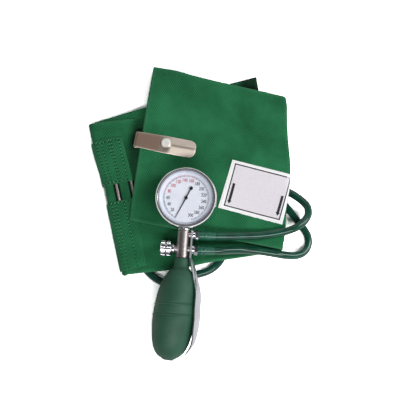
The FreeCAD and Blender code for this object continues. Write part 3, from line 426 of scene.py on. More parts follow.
def make_pocket():
    """A flat bag of two skins with rounded sewn edges and a sunk seam inside them."""
    solid = bmesh.new()
    border = [pocket_left[0], *(p for _, p in pocket_right), pocket_left[1]]

    def to_border(place):
        gaps = []
        for a, b in zip(border, border[1:] + border[:1]):
            run = b - a
            share = min(max((place - a).dot(run) / run.length_squared, 0), 1)
            gaps.append((place - a - run * share).length)
        return min(gaps)

    middle, half = (pocket_top + pocket_bottom) / 2, (pocket_top - pocket_bottom) / 2
    skins = ([], [])
    for v in crowded(pocket_columns):
        rows = ([], [])
        for u in crowded(pocket_rows):
            place = pocket_left[0].lerp(pocket_left[1], v).lerp(right_end(v), u)
            gap = to_border(place)
            place.y += pocket_bulge * math.sin(math.pi * u) * (1 - v) ** 3
            rim = rounded(gap, pocket_edge_round)
            ripple = pocket_ripple * waves(*place, pocket_ripple_size, 5.3) * rim
            height = half * rim * pocket_fill + bumps(gap, [pocket_seam]) + ripple
            for side, row in zip((1, -1), rows):
                at = solid.verts.new(Vector((*place, middle + side * max(height, 0))) * MM)
                row.append(at)
        for skin, row in zip(skins, rows):
            skin.append(row)
    for skin in skins:
        for one, other in zip(skin, skin[1:]):
            for k in range(len(one) - 1):
                solid.faces.new((one[k], one[k + 1], other[k + 1], other[k]))
    bmesh.ops.remove_doubles(solid, verts=solid.verts, dist=1e-6)
    pocket = show("cuff_pocket_cloth", mesh_of("cuff_pocket_cloth", solid), pocket_drill)
    rim = [v.index for v in pocket.data.vertices
           if to_border(Vector((v.co.x, v.co.y)) / MM) < pocket_edge_round]
    pocket.vertex_groups.new(name="sewn").add(rim, 1.0, "REPLACE")
    blow_up(pocket)
    for v in pocket.data.vertices:
        v.co.z = min(max(v.co.z, 0.05 * MM), pocket_top * MM)
    pocket.vertex_groups.clear()
    # Painted shade: the pocket darkens towards its right end, where it lies in the tail's shadow.
    wear_and_painted_light = pocket.data.attributes.new("wear_and_painted_light", "FLOAT", "POINT")
    for v, value in zip(pocket.data.vertices, wear_and_painted_light.data):
        value.value = -smooth_step((v.co.x / MM - 46) / 10)
    return refine(pocket)


def blow_up(pocket):
    """A little air under the slack cloth, which stays sewn fast at its edges."""
    start = [v.co.copy() for v in pocket.data.vertices]
    cloth = pocket.modifiers.new("air", "CLOTH")
    cloth.settings.quality = 6
    cloth.settings.mass = 0.3
    cloth.settings.tension_stiffness = 40
    cloth.settings.bending_stiffness = 2
    cloth.settings.vertex_group_mass = "sewn"
    cloth.settings.use_pressure = True
    cloth.settings.uniform_pressure_force = 4
    cloth.settings.shrink_min = -0.03
    cloth.settings.effector_weights.gravity = 0
    cloth.collision_settings.use_collision = False
    for step in range(1, 19):
        bpy.context.scene.frame_set(step)
    settle(pocket)
    bpy.context.scene.frame_set(1)
    for v, before in zip(pocket.data.vertices, start):
        drift = v.co - before
        if drift.length > pocket_drift * MM:
            v.co = before + drift * (pocket_drift * MM / drift.length)


pocket_drill = make_cotton_drill("cotton_drill_pocket", "Object")
pocket = make_pocket()
belong(pocket, "cloth", "cuff_pocket")


# ---------------------------------------------------------------- cuff strip
# One strip of doubled cotton drill, sewn shut along both long edges and folded askew at
# both ends: round the left fold, across as the panel, back round the right fold as the tail.
left_fold = (Vector((-97.6, 86.6)), Vector((-64.5, -63.4)))
right_fold = (Vector((97.8, 113.0)), Vector((93.4, -40.0)))
tail_end = (Vector((-34.0, 144.8)), Vector((-57.0, -10.5)))
half_cloth = 1.2
floor_layer = half_cloth
panel_layer = 9.4
tail_layer = 14.3
cuff_width = 153.0
hem_width = 8.0
hem_seam = 6.2
edge_seam = 5.2
edge_round = 1.5
edge_rub_and_highlight = 1.3


def hill(x, y, middle_x, middle_y, width_x, width_y, turn=0.0):
    """A smooth bump of height one, as long as width_x along its turned axis."""
    c, s = math.cos(math.radians(turn)), math.sin(math.radians(turn))
    along = ((x - middle_x) * c + (y - middle_y) * s) / width_x
    aside = ((y - middle_y) * c - (x - middle_x) * s) / width_y
    return math.exp(-along * along - aside * aside)


# Height in mm, middle, half lengths along and across, and turn of each pull and crease
panel_creases = (
    (0.6, -49, -50, 24, 4, 24), (-0.9, -46.5, -56.6, 15, 1.5, 25), (0.5, -45, -59.2, 12, 1.6, 24),
    (-0.5, -47, -59, 1.3, 3, 0), (-0.45, -30, -30, 30, 7, -62), (0.8, 66, -34.8, 8, 1.5, -17),
    (0.6, 49.6, -32.3, 3.5, 1.2, 38), (-0.6, 58, -31.5, 9, 2.0, -8), (-1.9, -50, 86, 9, 18, 0),
    (-1.3, 30, -40, 26, 5, -6), (0.7, 36, -50, 24, 3, -4),
    (-2.0, -56.4, 51.6, 26, 2.8, -77.6), (-2.4, -51, 60, 42, 5.5, 81.6),
)
tail_creases = (
    (-1.3, 40, 92, 40, 14, -12), (-1.0, 62, -28, 24, 9, -8), (0.55, 42, 96, 34, 3.2, -58),
    (-0.5, 50, 92, 34, 3.2, -58), (-0.8, -42, 22, 12, 26, 8), (3.6, -40, 100, 20, 24, 0),
    (0.5, 66, 78, 30, 2.6, -50), (-0.5, 22, 118, 40, 6, -12), (0.5, 10, 100, 4, 28, 10),
)
deepest_crease = 2.6
tail_droop, droop_from, droop_slant, droop_run = 2.2, 100.0, 0.155, 46.0


def panel_lift(x, y):
    """How far the panel's middle surface lies above its flat height."""
    return max(0.6 * waves(x, y, 45, 3.1) + sum(h * hill(x, y, *c) for h, *c in panel_creases),
               -deepest_crease)


def panel_soil(x, y):
    """How much painted shade the panel gets, in the creases beside the tail and the upper patch.
    """
    return max(0.95 * hill(x, y, -52, 72, 46, 6.2, 81.6),
               0.9 * hill(x, y, -57.2, 51.4, 23, 2.0, -77.6))


def tail_lift(x, y):
    """How far the tail's middle surface lies above its flat height."""
    beyond = ((y - droop_from) - droop_slant * (x + 34.0)) / droop_run
    droop = tail_droop * smooth_step(beyond) * smooth_step((70.0 - x) / 90.0)
    gripped = 1 - hill(x, y, -22, 64.5, 62, 20, -9.7)
    return gripped * (0.8 * waves(x, y, 42, 7.7) - droop
                      + sum(h * hill(x, y, *c) for h, *c in tail_creases))


def run_of(fold):
    """The direction along a fold, from its far end to its near one."""
    return (fold[1] - fold[0]).normalized()


def inward_of(fold, towards):
    """The direction square to a fold, on the side of a place."""
    run, side = run_of(fold), towards - fold[0]
    return (side - run * side.dot(run)).normalized()


def slopes(fold, ends, inward):
    """How far each long edge slips along a fold for each millimetre away from it."""
    edges = [end - start for start, end in zip(fold, ends)]
    return [edge.dot(run_of(fold)) / edge.dot(inward) for edge in edges]


def fold_rows(fold, inward, low, high, slopes_low, slopes_high, count):
    """Rows of the strip round a fold: each is a far point, a near point and a height."""
    radius, run = (high - low) / 2, run_of(fold)
    rows = []
    for share in [i / count for i in range(count + 1)]:
        turn = math.pi * (share - 0.5)
        away = radius + half_cloth - radius * math.cos(turn)
        ends = [start + inward * away + run * away * (before * (1 - share) + after * share)
                for start, before, after in zip(fold, slopes_low, slopes_high)]
        rows.append((*ends, (low + high) / 2 + radius * math.sin(turn)))
    return rows


def flat_rows(start, end, height, count):
    return [(start[0].lerp(end[0], i / count), start[1].lerp(end[1], i / count), height)
            for i in range(1, count + 1)]


rim_steps = [0.0, 0.12, 0.4, 0.85, 1.4, 2.2, 3.4, 4.6, 5.8]


def edge_shares(width, spacing):
    """Places across a width, as shares, that crowd towards both edges."""
    count = round((width - 2 * rim_steps[-1]) / spacing)
    middle = [rim_steps[-1] + (width - 2 * rim_steps[-1]) * i / count for i in range(1, count)]
    across = rim_steps + middle + [width - d for d in reversed(rim_steps)]
    return [d / width for d in across]


def skins_of(rows):
    """Both faces of a sheet. Its rows give a middle place, half a thickness, a place on the
    cloth and a value of wear and painted light at each point."""
    skins = ([], [])
    for i, row in enumerate(rows):
        ahead, behind = rows[min(i + 1, len(rows) - 1)], rows[max(i - 1, 0)]
        lines = ([], [])
        for j, (middle, half, _, _) in enumerate(row):
            along = ahead[j][0] - behind[j][0]
            across = row[min(j + 1, len(row) - 1)][0] - row[max(j - 1, 0)][0]
            out = along.cross(across).normalized() * half
            lines[0].append(middle + out)
            lines[1].append(middle - out)
        for skin, line in zip(skins, lines):
            skin.append(line)
    return skins


def sheet_mesh(name, rows):
    """A closed sheet between its two faces, with its place on the cloth and its values of wear and
    painted light.
    """
    solid = bmesh.new()
    uv = solid.loops.layers.uv.new("UVMap")
    wear_and_painted_light = solid.verts.layers.float.new("wear_and_painted_light")
    for skin in skins_of(rows):
        grid = [[solid.verts.new(place * MM) for place in line] for line in skin]
        for i, row in enumerate(rows):
            for j, point in enumerate(row):
                grid[i][j][wear_and_painted_light] = point[3]
        for i in range(len(rows) - 1):
            for j in range(len(rows[0]) - 1):
                corners = [(i, j), (i + 1, j), (i + 1, j + 1), (i, j + 1)]
                face = solid.faces.new([grid[a][b] for a, b in corners])
                for loop, (a, b) in zip(face.loops, corners):
                    loop[uv].uv = rows[a][b][2]
    bmesh.ops.remove_doubles(solid, verts=solid.verts, dist=1e-6)
    bmesh.ops.holes_fill(solid, edges=[e for e in solid.edges if e.is_boundary])
    return mesh_of(name, solid)


def strip_rows():
    """Rows across the strip from the left fold to the tail's end, and where each part ends."""
    from_left = inward_of(left_fold, right_fold[0])
    from_right = inward_of(right_fold, left_fold[0])
    under = (Vector((66.1, 135.0)), Vector((27.0, -37.0)))
    rows = fold_rows(left_fold, from_left, floor_layer, panel_layer,
                     slopes(left_fold, under, from_left),
                     slopes(left_fold, right_fold, from_left), 14)
    left_count = len(rows)
    turn_right = fold_rows(right_fold, from_right, panel_layer, tail_layer,
                           slopes(right_fold, left_fold, from_right),
                           slopes(right_fold, tail_end, from_right), 10)
    rows += flat_rows(rows[-1], turn_right[0], panel_layer, 64)[:-1]
    panel_count = len(rows)
    rows += turn_right
    right_count = len(rows)
    last = rows[-1]
    length = (tail_end[0] - last[0]).length

    def short_of_end(distance):
        share = 1 - distance / length
        return (last[0].lerp(tail_end[0], share), last[1].lerp(tail_end[1], share), tail_layer)

    hem = rim_steps[:-1] + [5.4, hem_seam, 7.0, hem_width, hem_width + 0.8, hem_width + 1.6]
    rows += flat_rows(last, short_of_end(hem[-1]), tail_layer, 56)
    rows += [short_of_end(distance) for distance in reversed(hem[:-1])]
    return rows, hem, left_count, panel_count, right_count


left_slant, slack_depth, slack_reach = 0.2207, 2.4, 40
# Height, middle and half width of each bulge in the far edge, near edge and right fold
far_bulges = ((1.3, -12, 13), (-0.9, 48, 42))
near_bulges = ((-2.0, -15, 32),)
fold_bulges = ((4.2, 38, 31), (-2.9, -43, 14), (-1.6, 114, 5))
bulge_line, bulge_reach, far_fade, near_fade = 97.8, 30, 3.5, 4


def left_slack(x, y):
    """How far the left fold has crept in from its straight line, towards its near end."""
    line = left_fold[0].x + (left_fold[0].y - y) * left_slant
    return (slack_depth * smooth_step((62 - y) / 34)
            * smooth_step(1 - (x - line) / slack_reach))


def settled(place, share):
    """A place on the strip after its right fold has bagged out, and the shifts of its far
    and near edges there."""
    x, y = place
    side = smooth_step(1 - (bulge_line - x) / bulge_reach)
    return (Vector((x + bumps(y, fold_bulges) * side + left_slack(x, y), y)),
            bumps(x, far_bulges) * smooth_step(1 - share * far_fade),
            bumps(x, near_bulges) * smooth_step(1 - (1 - share) * near_fade))


def pucker(along, aside):
    """How far the cloth is drawn up and down along the seam inside a long edge."""
    draw = 0.12 * math.sin(along * 1.15) + 0.1 * waves(along, aside, 7, 1.7)
    return draw * math.exp(-((aside - edge_seam) / 2.2) ** 2)


rows, hem, left_count, panel_count, right_count = strip_rows()
strip_shares = edge_shares(cuff_width, 2.6)
hem_swell, hem_sink, edge_sink = 0.28, 0.3, 0.25
fade_rows = 8
strip_points = []
strip_length = 0.0
for i, (far, near, height) in enumerate(rows):
    if i:
        before = rows[i - 1]
        strip_length += Vector((*((far + near) - (before[0] + before[1])) / 2,
                                height - before[2])).length
    to_end = len(rows) - 1 - i
    from_end = hem[to_end] if to_end < len(hem) else hem_width * 4
    points = []
    for share in strip_shares:
        place, far_shift, near_shift = settled(far.lerp(near, share), share)
        aside = min(share, 1 - share) * cuff_width
        half = half_cloth * rounded(aside, edge_round) * rounded(from_end, edge_round)
        if from_end < hem_width - 0.5:
            half += hem_swell * min(from_end, 1) * min(aside, 1)
        if abs(from_end - hem_seam) < 0.1:
            half -= hem_sink * min(aside, 1)
        z, rub_and_painted_light = height, 0.0
        if i >= left_count:
            # Paler near the edges: rubbed wear and a painted edge highlight.
            rub_and_painted_light = math.exp(-min(aside, from_end) / edge_rub_and_highlight)
            if abs(aside - edge_seam) < 0.7:
                half -= edge_sink
        if left_count <= i < panel_count:
            # Painted shade in the creases beside the tail and the upper patch.
            rub_and_painted_light -= panel_soil(*place)
            fade = min(i - left_count + 1, panel_count - i, fade_rows) / fade_rows
            z += panel_lift(*place) * fade
            place.y += near_shift
        if i >= right_count:
            z += tail_lift(*place) * min(i - right_count + 1, fade_rows) / fade_rows
            place.y += far_shift
        if i >= left_count:
            z += pucker(strip_length, aside)
        points.append((Vector((*place, z)), max(half, 0.0),
                       (strip_length * MM, share * cuff_width * MM), rub_and_painted_light))
    strip_points.append(points)

cotton_drill = make_cotton_drill("cotton_drill", "UV")
strip_skins = skins_of(strip_points)
cuff_strip = refine(show("cuff_strip_cloth", sheet_mesh("cuff_strip_cloth", strip_points),
                         cotton_drill))


# ---------------------------------------------------------------- bar patches
# Two pieces of the same drill, doubled and wrapped round the left fold, that hold the ends
# of the bars down. Each lies on the panel, and swells where a bar runs beneath it.
patch_half, patch_outer = 0.8, -8.6
patch_round, patch_rub_and_highlight, patch_seam = 1.1, 0.3, (-0.15, 2.6, 0.8)
fold_radius = (panel_layer - floor_layer) / 2 + half_cloth
fold_run = run_of(left_fold)
fold_inward = inward_of(left_fold, right_fold[0])
bar_lines = (7.6, 23.5)


def beside_fold(along, across, lift):
    """A place on the cuff's left part: along the fold, and across it from where the bend
    begins, at a height over the cloth. Negative places go round the bend."""
    turn = min(across, 0) / fold_radius
    away = fold_radius + max(across, 0) + (fold_radius + lift) * math.sin(turn)
    flat = left_fold[0] + fold_run * along + fold_inward * away
    height = (panel_layer + floor_layer) / 2 + (fold_radius + lift) * math.cos(turn)
    height += panel_lift(*flat) * smooth_step(across / 12)
    flat.x += left_slack(*flat)
    return Vector((*flat, height))


def bar_swell(across):
    """How far the bars beneath lift a patch."""
    return bumps(across, [(0.55, line, 2.3) for line in bar_lines])


def make_patch(name, start, end, inner, bow):
    """A patch between two distances along the fold, with its inner edge at two others."""
    length, width = end - start, inner[0] - patch_outer
    rows = []
    for share in edge_shares(length, 2.4):
        breadth = inner[0] + (inner[1] - inner[0]) * share - patch_outer
        row = []
        for step in edge_shares(width, 2.0):
            across = patch_outer + breadth * step
            along = start + length * share + bow * math.sin(math.pi * step) * (1 - share)
            gap = min(min(share, 1 - share) * length, min(step, 1 - step) * breadth)
            half = patch_half * rounded(gap, patch_round) + bumps(gap, [patch_seam])
            ripple = 0.15 * waves(along, across, 9, 4.1)
            # The last value pales the patch's edges: rubbed wear and a painted edge highlight.
            row.append((beside_fold(along, across, patch_half + bar_swell(across) + ripple),
                        max(half, 0.0), (along * MM, across * MM),
                        patch_rub_and_highlight * math.exp(-gap / edge_rub_and_highlight)))
        rows.append(row)
    patch = refine(show(name, sheet_mesh(name, rows), cotton_drill))
    belong(patch, "cloth", name.replace("_cloth", ""))
    return patch, (length, width)


patch_upper, upper_size = make_patch("bar_patch_upper_cloth", 20.6, 65.2, (23.9, 26.2), -2.0)
patch_lower, lower_size = make_patch("bar_patch_lower_cloth", 82.2, 150.0, (22.0, 21.4), 0.0)


# ---------------------------------------------------------------- seams
# Lockstitch in green polyester thread: single rows inside the cuff's edges and hem, and
# rows beside the bars on both patches. The real pitch is 2.5 mm and is drawn 3.4 mm, so
# that it shows. Each stitch is a short rounded bead that sinks half into the cloth.
def group_tree(name, **inputs):
    """An empty Geometry Nodes tree with an outlet and named inlets of the given kinds."""
    tree = bpy.data.node_groups.new(name, "GeometryNodeTree")
    tree.interface.new_socket("Geometry", in_out="OUTPUT", socket_type="NodeSocketGeometry")
    for label, kind in (("Geometry", "Geometry"), *inputs.items()):
        tree.interface.new_socket(label.replace("_", " "), in_out="INPUT",
                                  socket_type="NodeSocket" + kind)
    return tree, tree.nodes.new("NodeGroupInput").outputs, tree.nodes.new("NodeGroupOutput")


def grow(name, mesh, tree, **values):
    """A plain mesh piece that a tree makes from a mesh and its named values."""
    source = bpy.data.objects.new(name + "_source", mesh)
    bpy.context.scene.collection.objects.link(source)
    modifier = source.modifiers.new("grow", "NODES")
    modifier.node_group = tree
    for item in tree.interface.items_tree:
        if item.in_out == "INPUT" and item.name.replace(" ", "_") in values:
            modifier[item.identifier] = values[item.name.replace(" ", "_")]
    ready = source.evaluated_get(bpy.context.evaluated_depsgraph_get())
    made = bpy.data.meshes.new_from_object(ready)
    bpy.data.objects.remove(source)
    piece = bpy.data.objects.new(name, made)
    bpy.context.scene.collection.objects.link(piece)
    return piece


def repeat(tree, given, out, points, shape):
    """Put a shape on each point of a line, turned along it, as one mesh of one material."""
    ahead = add(tree, "GeometryNodeInputTangent")
    turn = add(tree, "FunctionNodeAlignRotationToVector", links={"Vector": ahead.outputs[0]},
               axis="X")
    placed = add(tree, "GeometryNodeInstanceOnPoints",
                 links={"Points": points, "Instance": shape, "Rotation": turn.outputs[0]})
    real = add(tree, "GeometryNodeRealizeInstances",
               links={"Geometry": placed.outputs["Instances"]})
    done = add(tree, "GeometryNodeSetMaterial", links={"Geometry": real.outputs["Geometry"],
                                                       "Material": given["Material"]})
    tree.links.new(done.outputs["Geometry"], out.inputs["Geometry"])
    return tree


def make_stitch_tree():
    """Beads of thread along every run of a wire mesh, each turned along its run."""
    tree, given, out = group_tree("lockstitch", Pitch="Float", Stitch="Float", Thread="Float",
                                  Material="Material")
    run = add(tree, "GeometryNodeMeshToCurve", links={"Mesh": given["Geometry"]})
    paced = add(tree, "GeometryNodeResampleCurve", links={"Curve": run.outputs["Curve"],
                                                          "Length": given["Pitch"]}, mode="LENGTH")
    bead = add(tree, "GeometryNodeMeshUVSphere", {"Segments": 6, "Rings": 4, "Radius": 0.5})
    size = add(tree, "ShaderNodeCombineXYZ", links={"X": given["Stitch"], "Y": given["Thread"],
                                                    "Z": given["Thread"]})
    shaped = add(tree, "GeometryNodeTransform", links={"Geometry": bead.outputs["Mesh"],
                                                       "Scale": size.outputs["Vector"]})
    soft = add(tree, "GeometryNodeSetShadeSmooth", links={"Geometry": shaped.outputs["Geometry"]})
    return repeat(tree, given, out, paced.outputs["Curve"], soft.outputs["Geometry"])


def wire(name, runs):
    """A mesh of open runs of edges through the given places, in millimetres."""
    points = [place * MM for run in runs for place in run]
    edges, start = [], 0
    for run in runs:
        edges += [(start + k, start + k + 1) for k in range(len(run) - 1)]
        start += len(run)
    mesh = bpy.data.meshes.new(name)
    mesh.from_pydata(points, edges, [])
    return mesh


def on_strip(i, column, skin):
    """A place on one face of the strip, at a row and a place between two columns."""
    line = strip_skins[skin][i]
    low = min(int(column), len(line) - 2)
    return line[low].lerp(line[low + 1], column - low)


def over_patch(along, across, swell=0.0):
    """A place just on top of a patch, for its stitches."""
    return beside_fold(along, across, 2 * patch_half + 0.08 + swell)


def dyed_thread(name, dark, pale):
    return mottled(name, 1.2, (dark, pale), Roughness=0.7, Specular_IOR_Level=0.15)


# Polyester thread: smooth and a little glossier than cotton, mottled by its twist.
thread = dyed_thread("green_polyester_thread", "#22693F", "#31794F")
pale_thread = dyed_thread("pale_polyester_thread", "#459266", "#67B085")
# Painted shade: dark beads stand for the shadow in the needle holes between stitches, so that each
# stitch stands out.
hole_shade = dyed_thread("needle_hole_shade", "#061A10", "#0C2A1A")

hem_row = len(rows) - 1 - hem.index(hem_seam)
far_column, near_column = 7.5, len(strip_shares) - 8.5
cuff_runs = [[on_strip(i, column, skin) for i in range(first, last)]
             for first, last, skin in ((right_count, hem_row, 0), (left_count, panel_count, 1))
             for column in (far_column, near_column)]
cuff_runs.append([on_strip(hem_row, column, 0)
                  for column in range(int(far_column) + 1, int(near_column) + 1)])
# First and last distance along the fold of each patch's rows, and their places across it
patch_runs = [[over_patch(start + (end - start) * k / 30, across) for k in range(31)]
              for start, end, seams in ((21.8, 64.0, (-0.9, 3.6, 10.8, 13.2, 20.6)),
                                        (83.6, 148.5, (-0.9, 2.6, 12.0)))
              for across in seams]
patch_runs += [[over_patch(along, across, bar_swell(across))
                for across in [-4 + 25 * k / 20 for k in range(21)]]
               for along in (22.6, 63.2, 84.2)]
stitch_tree = make_stitch_tree()
pitch = 3.4
hole_runs = [[run[0].lerp(run[1], pitch / 2 / (run[1] - run[0]).length)] + run[2:]
             for run in patch_runs]
cuff_stitches, patch_stitches, needle_holes = (
    grow(name, wire(name, runs), stitch_tree, Pitch=pitch * MM, Stitch=length * MM,
         Thread=width * MM, Material=material)
    for name, runs, length, width, material in (
        ("cuff_stitches", cuff_runs, 2.3, 0.6, thread),
        ("patch_stitches", patch_runs, 1.9, 1.0, pale_thread),
        ("needle_holes", hole_runs, 1.6, 1.3, hole_shade)))
for stitches in (cuff_stitches, patch_stitches, needle_holes):
    belong(stitches, "cloth")
belong(cuff_strip, "cloth", "cuff_panel", "cuff_tail", "cuff_fold_left", "cuff_fold_right")


# ---------------------------------------------------------------- closure bars
# Three half-round steel bars, nickel plated, that the hook catches on. They were cut from
# drawn strip with rounded ends, and their middles show between the two patches.
def bare_metal(name, dark, pale, roughness, patch):
    """A metal whose colour and polish wander in patches of a size in millimetres."""
    return mottled(name, patch, (dark, pale), (roughness, roughness + 0.06, patch), Metallic=1.0)


# Nickel plate: a warm, slightly yellow white with soft reflections.
nickel_plate = bare_metal("nickel_plated_strip", "#E6DAD2", "#F8F1EC", 0.36, 5)
# Painted shade: a near-black, matt sheet under each bar stands for the deep shade of the slot that
# the bar lies in.
slot_shade_sheet = mottled("black_cotton_tape", 0.7, ("#06140D", "#11261B"), Roughness=0.9,
                   Specular_IOR_Level=0.1)
bar_ends, bar_half, bar_thick = (45.1, 101.1), 1.2, 1.1
fold_bar_line = -6.0
shade_ends, shade_half, shade_half_thick, shade_lift = (60.0, 88.0), 3.4, 0.12, 0.16


def long_strip(material, across, ends, half_width, half, lift, corner, edge):
    """A thin straight strip that lies along the fold and keeps to the cloth under it."""
    rows = []
    for share in edge_shares(ends[1] - ends[0], 2.6):
        along = ends[0] + (ends[1] - ends[0]) * share
        end_gap = min(share, 1 - share) * (ends[1] - ends[0])
        wide = half_width * rounded(end_gap, corner)
        row = []
        for k in range(17):
            aside = wide * math.sin(math.pi * (k / 16 - 0.5))
            gap = min(half_width - abs(aside), end_gap)
            row.append((beside_fold(along, across + aside, lift), half * rounded(gap, edge),
                        (along * MM, aside * MM), 0.0))
        rows.append(row)
    return smooth(show("strip", sheet_mesh("strip", rows), material), 50)


def gather(name, pieces):
    """One piece made of several that share a finish."""
    solid = bmesh.new()
    for piece in pieces:
        solid.from_mesh(piece.data)
    mesh = pieces[0].data
    solid.to_mesh(mesh)
    solid.free()
    for piece in pieces[1:]:
        bpy.data.objects.remove(piece)
    pieces[0].name = mesh.name = name
    return pieces[0]


bars = gather("closure_bars_plated", [
    long_strip(nickel_plate, across, bar_ends, bar_half, bar_thick / 2, bar_thick / 2 + 0.1,
               bar_half, bar_half) for across in (*bar_lines, fold_bar_line)])
belong(bars, "nickel_sheet", "closure_bars")
slot_shades = gather("bar_slot_tapes", [
    long_strip(slot_shade_sheet, across, shade_ends, shade_half, shade_half_thick, shade_lift, 0.5, 0.3)
    for across in bar_lines])
belong(slot_shades, "cloth")


# ---------------------------------------------------------------- hook
# Pressed from 0.8 mm sheet steel and nickel plated: a lower leg clamped under the tail, a
# bend, a flat back, and a tongue with a stiffening ridge and a stamped dimple at its root.
hook_start, hook_tip = Vector((-51.6, 69.7)), Vector((7.8, 57.9))
hook_length = (hook_tip - hook_start).length
hook_half_sheet = 0.4
hook_low, hook_high = 12.3, 16.2
hook_bend = (hook_high - hook_low) / 2
hook_lower_leg = 24.0
hook_flat, hook_hip, hook_ridge = 28.5, 8.0, 2.6
hook_half_start, hook_half_end, hook_corner = 7.7, 8.7, 7.5
leg_steps, bend_steps, face_steps, tip_steps = 8, 15, 60, 16
dimple_place, dimple_size, dimple_height = (31.0, 1.7), (5.2, 4.7), 2.0


def hook_path():
    """Stations along the middle of the sheet: distance, height and half width."""
    stations = [(hook_lower_leg + hook_bend - k * hook_lower_leg / leg_steps, hook_low,
                 hook_half_start - 0.7) for k in range(leg_steps)]
    for k in range(bend_steps):
        turn = math.pi * (k / (bend_steps - 1) - 0.5)
        stations.append((hook_bend * (1.2 - math.cos(turn)), hook_low + hook_bend
                         + hook_bend * math.sin(turn), hook_half_start - 0.5 * math.cos(turn)))
    first, last = hook_bend * 1.2, hook_length - hook_corner
    for k in range(1, face_steps + 1):
        x = first + (last - first) * k / face_steps
        widen = min((x - first) / (hook_flat - first), 1)
        stations.append((x, hook_high, hook_half_start
                         + (hook_half_end - hook_half_start) * widen))
    for k in range(1, tip_steps + 1):
        turn = math.pi / 2 * k / tip_steps
        stations.append((last + hook_corner * math.sin(turn), hook_high,
                         hook_half_end * math.cos(turn) ** 0.62))
    return stations


def hook_lift(x, y):
    """How far the ridge and the dimple raise the hook's face."""
    roof = 1 - math.sqrt((y / hook_half_end) ** 2 + 0.006)
    ridge = hook_ridge * max(roof, 0) * smooth_step((x - hook_flat) / hook_hip)
    apart = math.hypot((x - dimple_place[0]) / dimple_size[0],
                       (y - dimple_place[1]) / dimple_size[1])
    slant = 0.7 + 0.4 * (y - dimple_place[1]) / dimple_size[1]
    return ridge + dimple_height * slant * max(0.0, 1 - apart * apart) ** 0.5


hook_turn = Matrix.Rotation(math.atan2(hook_tip.y - hook_start.y, hook_tip.x - hook_start.x), 2)
hook_rows = []
for i, (x, z, half_width) in enumerate(hook_path()):
    upper = i >= leg_steps + bend_steps
    row = []
    for share in crowded(36, 1):
        y = (2 * share - 1) * half_width
        gap = min(half_width - abs(y), hook_length - x if upper else half_width)
        flat = hook_start + hook_turn @ Vector((x, y))
        # The last value pales the sheet's edges: rubbed wear and a painted edge highlight.
        row.append((Vector((*flat, z + (hook_lift(x, y) if upper else 0.0))),
                    hook_half_sheet * rounded(gap, hook_half_sheet), (x * MM, y * MM),
                    math.exp(-gap / 0.8)))
    hook_rows.append(row)

# Nickel plate over steel sheet, with a little random tarnish. It runs from brownish on the back to
# paler
# on the tongue: a painted reflection. Its edges are paler: rubbed wear and a painted edge
# highlight. The boss is a painted highlight, near white, matt and hardly metallic.
hook_plate, tree, shader = new_material("nickel_plated_sheet")
on_sheet = add(tree, "ShaderNodeTexCoord").outputs["UV"]
place = add(tree, "ShaderNodeSeparateXYZ", links={"Vector": on_sheet})
# Painted reflection: the colour pales from the back to the tongue.
painted_tongue_reflection = add(tree, "ShaderNodeMapRange", {"From Min": 22 * MM, "From Max": 31 * MM},
           {"Value": place.outputs["X"]})
tarnish_and_reflection = add(tree, "ShaderNodeMix", {"Factor": 0.12}, {"A": painted_tongue_reflection.outputs["Result"],
                                                        "B": cloud(tree, 2.5, 3, "UV")})
plate = between(tree, tarnish_and_reflection.outputs["Result"], "#D8B8A4", "#E8DACB", 0.15, 0.8)
wear_and_painted_light = add(tree, "ShaderNodeAttribute", attribute_name="wear_and_painted_light")
warm = add(tree, "ShaderNodeMix", links={"Factor": wear_and_painted_light.outputs["Fac"], "A": plate},
           data_type="RGBA")
warm.inputs["B"].default_value = linear("#FFF0E4")
# Painted highlight: a near-white, matt spot on the boss.
boss = add(tree, "ShaderNodeVectorMath", {1: (dimple_place[0] * MM, dimple_place[1] * MM, 0)},
           {0: on_sheet}, operation="DISTANCE")
bloom_and_highlight = add(tree, "ShaderNodeMapRange", {"From Min": 5.0 * MM, "From Max": 3.6 * MM},
            {"Value": boss.outputs["Value"]})
boss_highlight = add(tree, "ShaderNodeMix", links={"Factor": bloom_and_highlight.outputs["Result"],
                                           "A": warm.outputs["Result"]}, data_type="RGBA")
boss_highlight.inputs["B"].default_value = linear("#FFFDF8")
tree.links.new(boss_highlight.outputs["Result"], shader.inputs["Base Color"])
for socket, bare, at_highlight in (("Roughness", 0.42, 0.5), ("Metallic", 1.0, 0.15)):
    spread = add(tree, "ShaderNodeMapRange", {"To Min": bare, "To Max": at_highlight},
                 {"Value": bloom_and_highlight.outputs["Result"]})
    tree.links.new(spread.outputs["Result"], shader.inputs[socket])
hook = smooth(show("closure_hook_sheet", sheet_mesh("closure_hook_sheet", hook_rows),
                   hook_plate), 50)
belong(hook, "nickel_sheet", "closure_hook")


# ---------------------------------------------------------------- label
# A woven white satin label, cut hot and sewn flat on the tail. It keeps a thin printed
# border and two plain arrows; the rest of its face is bare.
label_corners = [Vector(c) for c in ((43.3, 48.7), (103.0, 33.2), (90.6, -15.5), (29.2, 1.1))]
border_corners = [Vector(c) for c in ((46.4, 44.4), (99.7, 30.2), (87.8, -10.6), (35.4, 3.4))]
label_half, label_gap, print_gap = 0.18, 0.12, 0.1
label_size = 52
fold_turn = (tail_layer - panel_layer) / 2 + half_cloth
fold_slip, fold_fade, furthest_turn = 0.0288, 21, 1.9


def on_tail(flat, height):
    """A place at a height over the tail's cloth, which goes round the right fold with it."""
    x, y = flat
    slip = (y - right_fold[0].y) * fold_slip
    start = settled(Vector((right_fold[0].x + slip, y)), 0.5)[0].x - fold_turn
    lift = tail_lift(x, y) * min(max((start - x) / fold_fade, 0), 1)
    reach = fold_turn + height
    turn = min(max(x - start, 0) / reach, furthest_turn)
    return Vector((min(x, start) + reach * math.sin(turn), y,
                   tail_layer + half_cloth - fold_turn + reach * math.cos(turn) + lift))


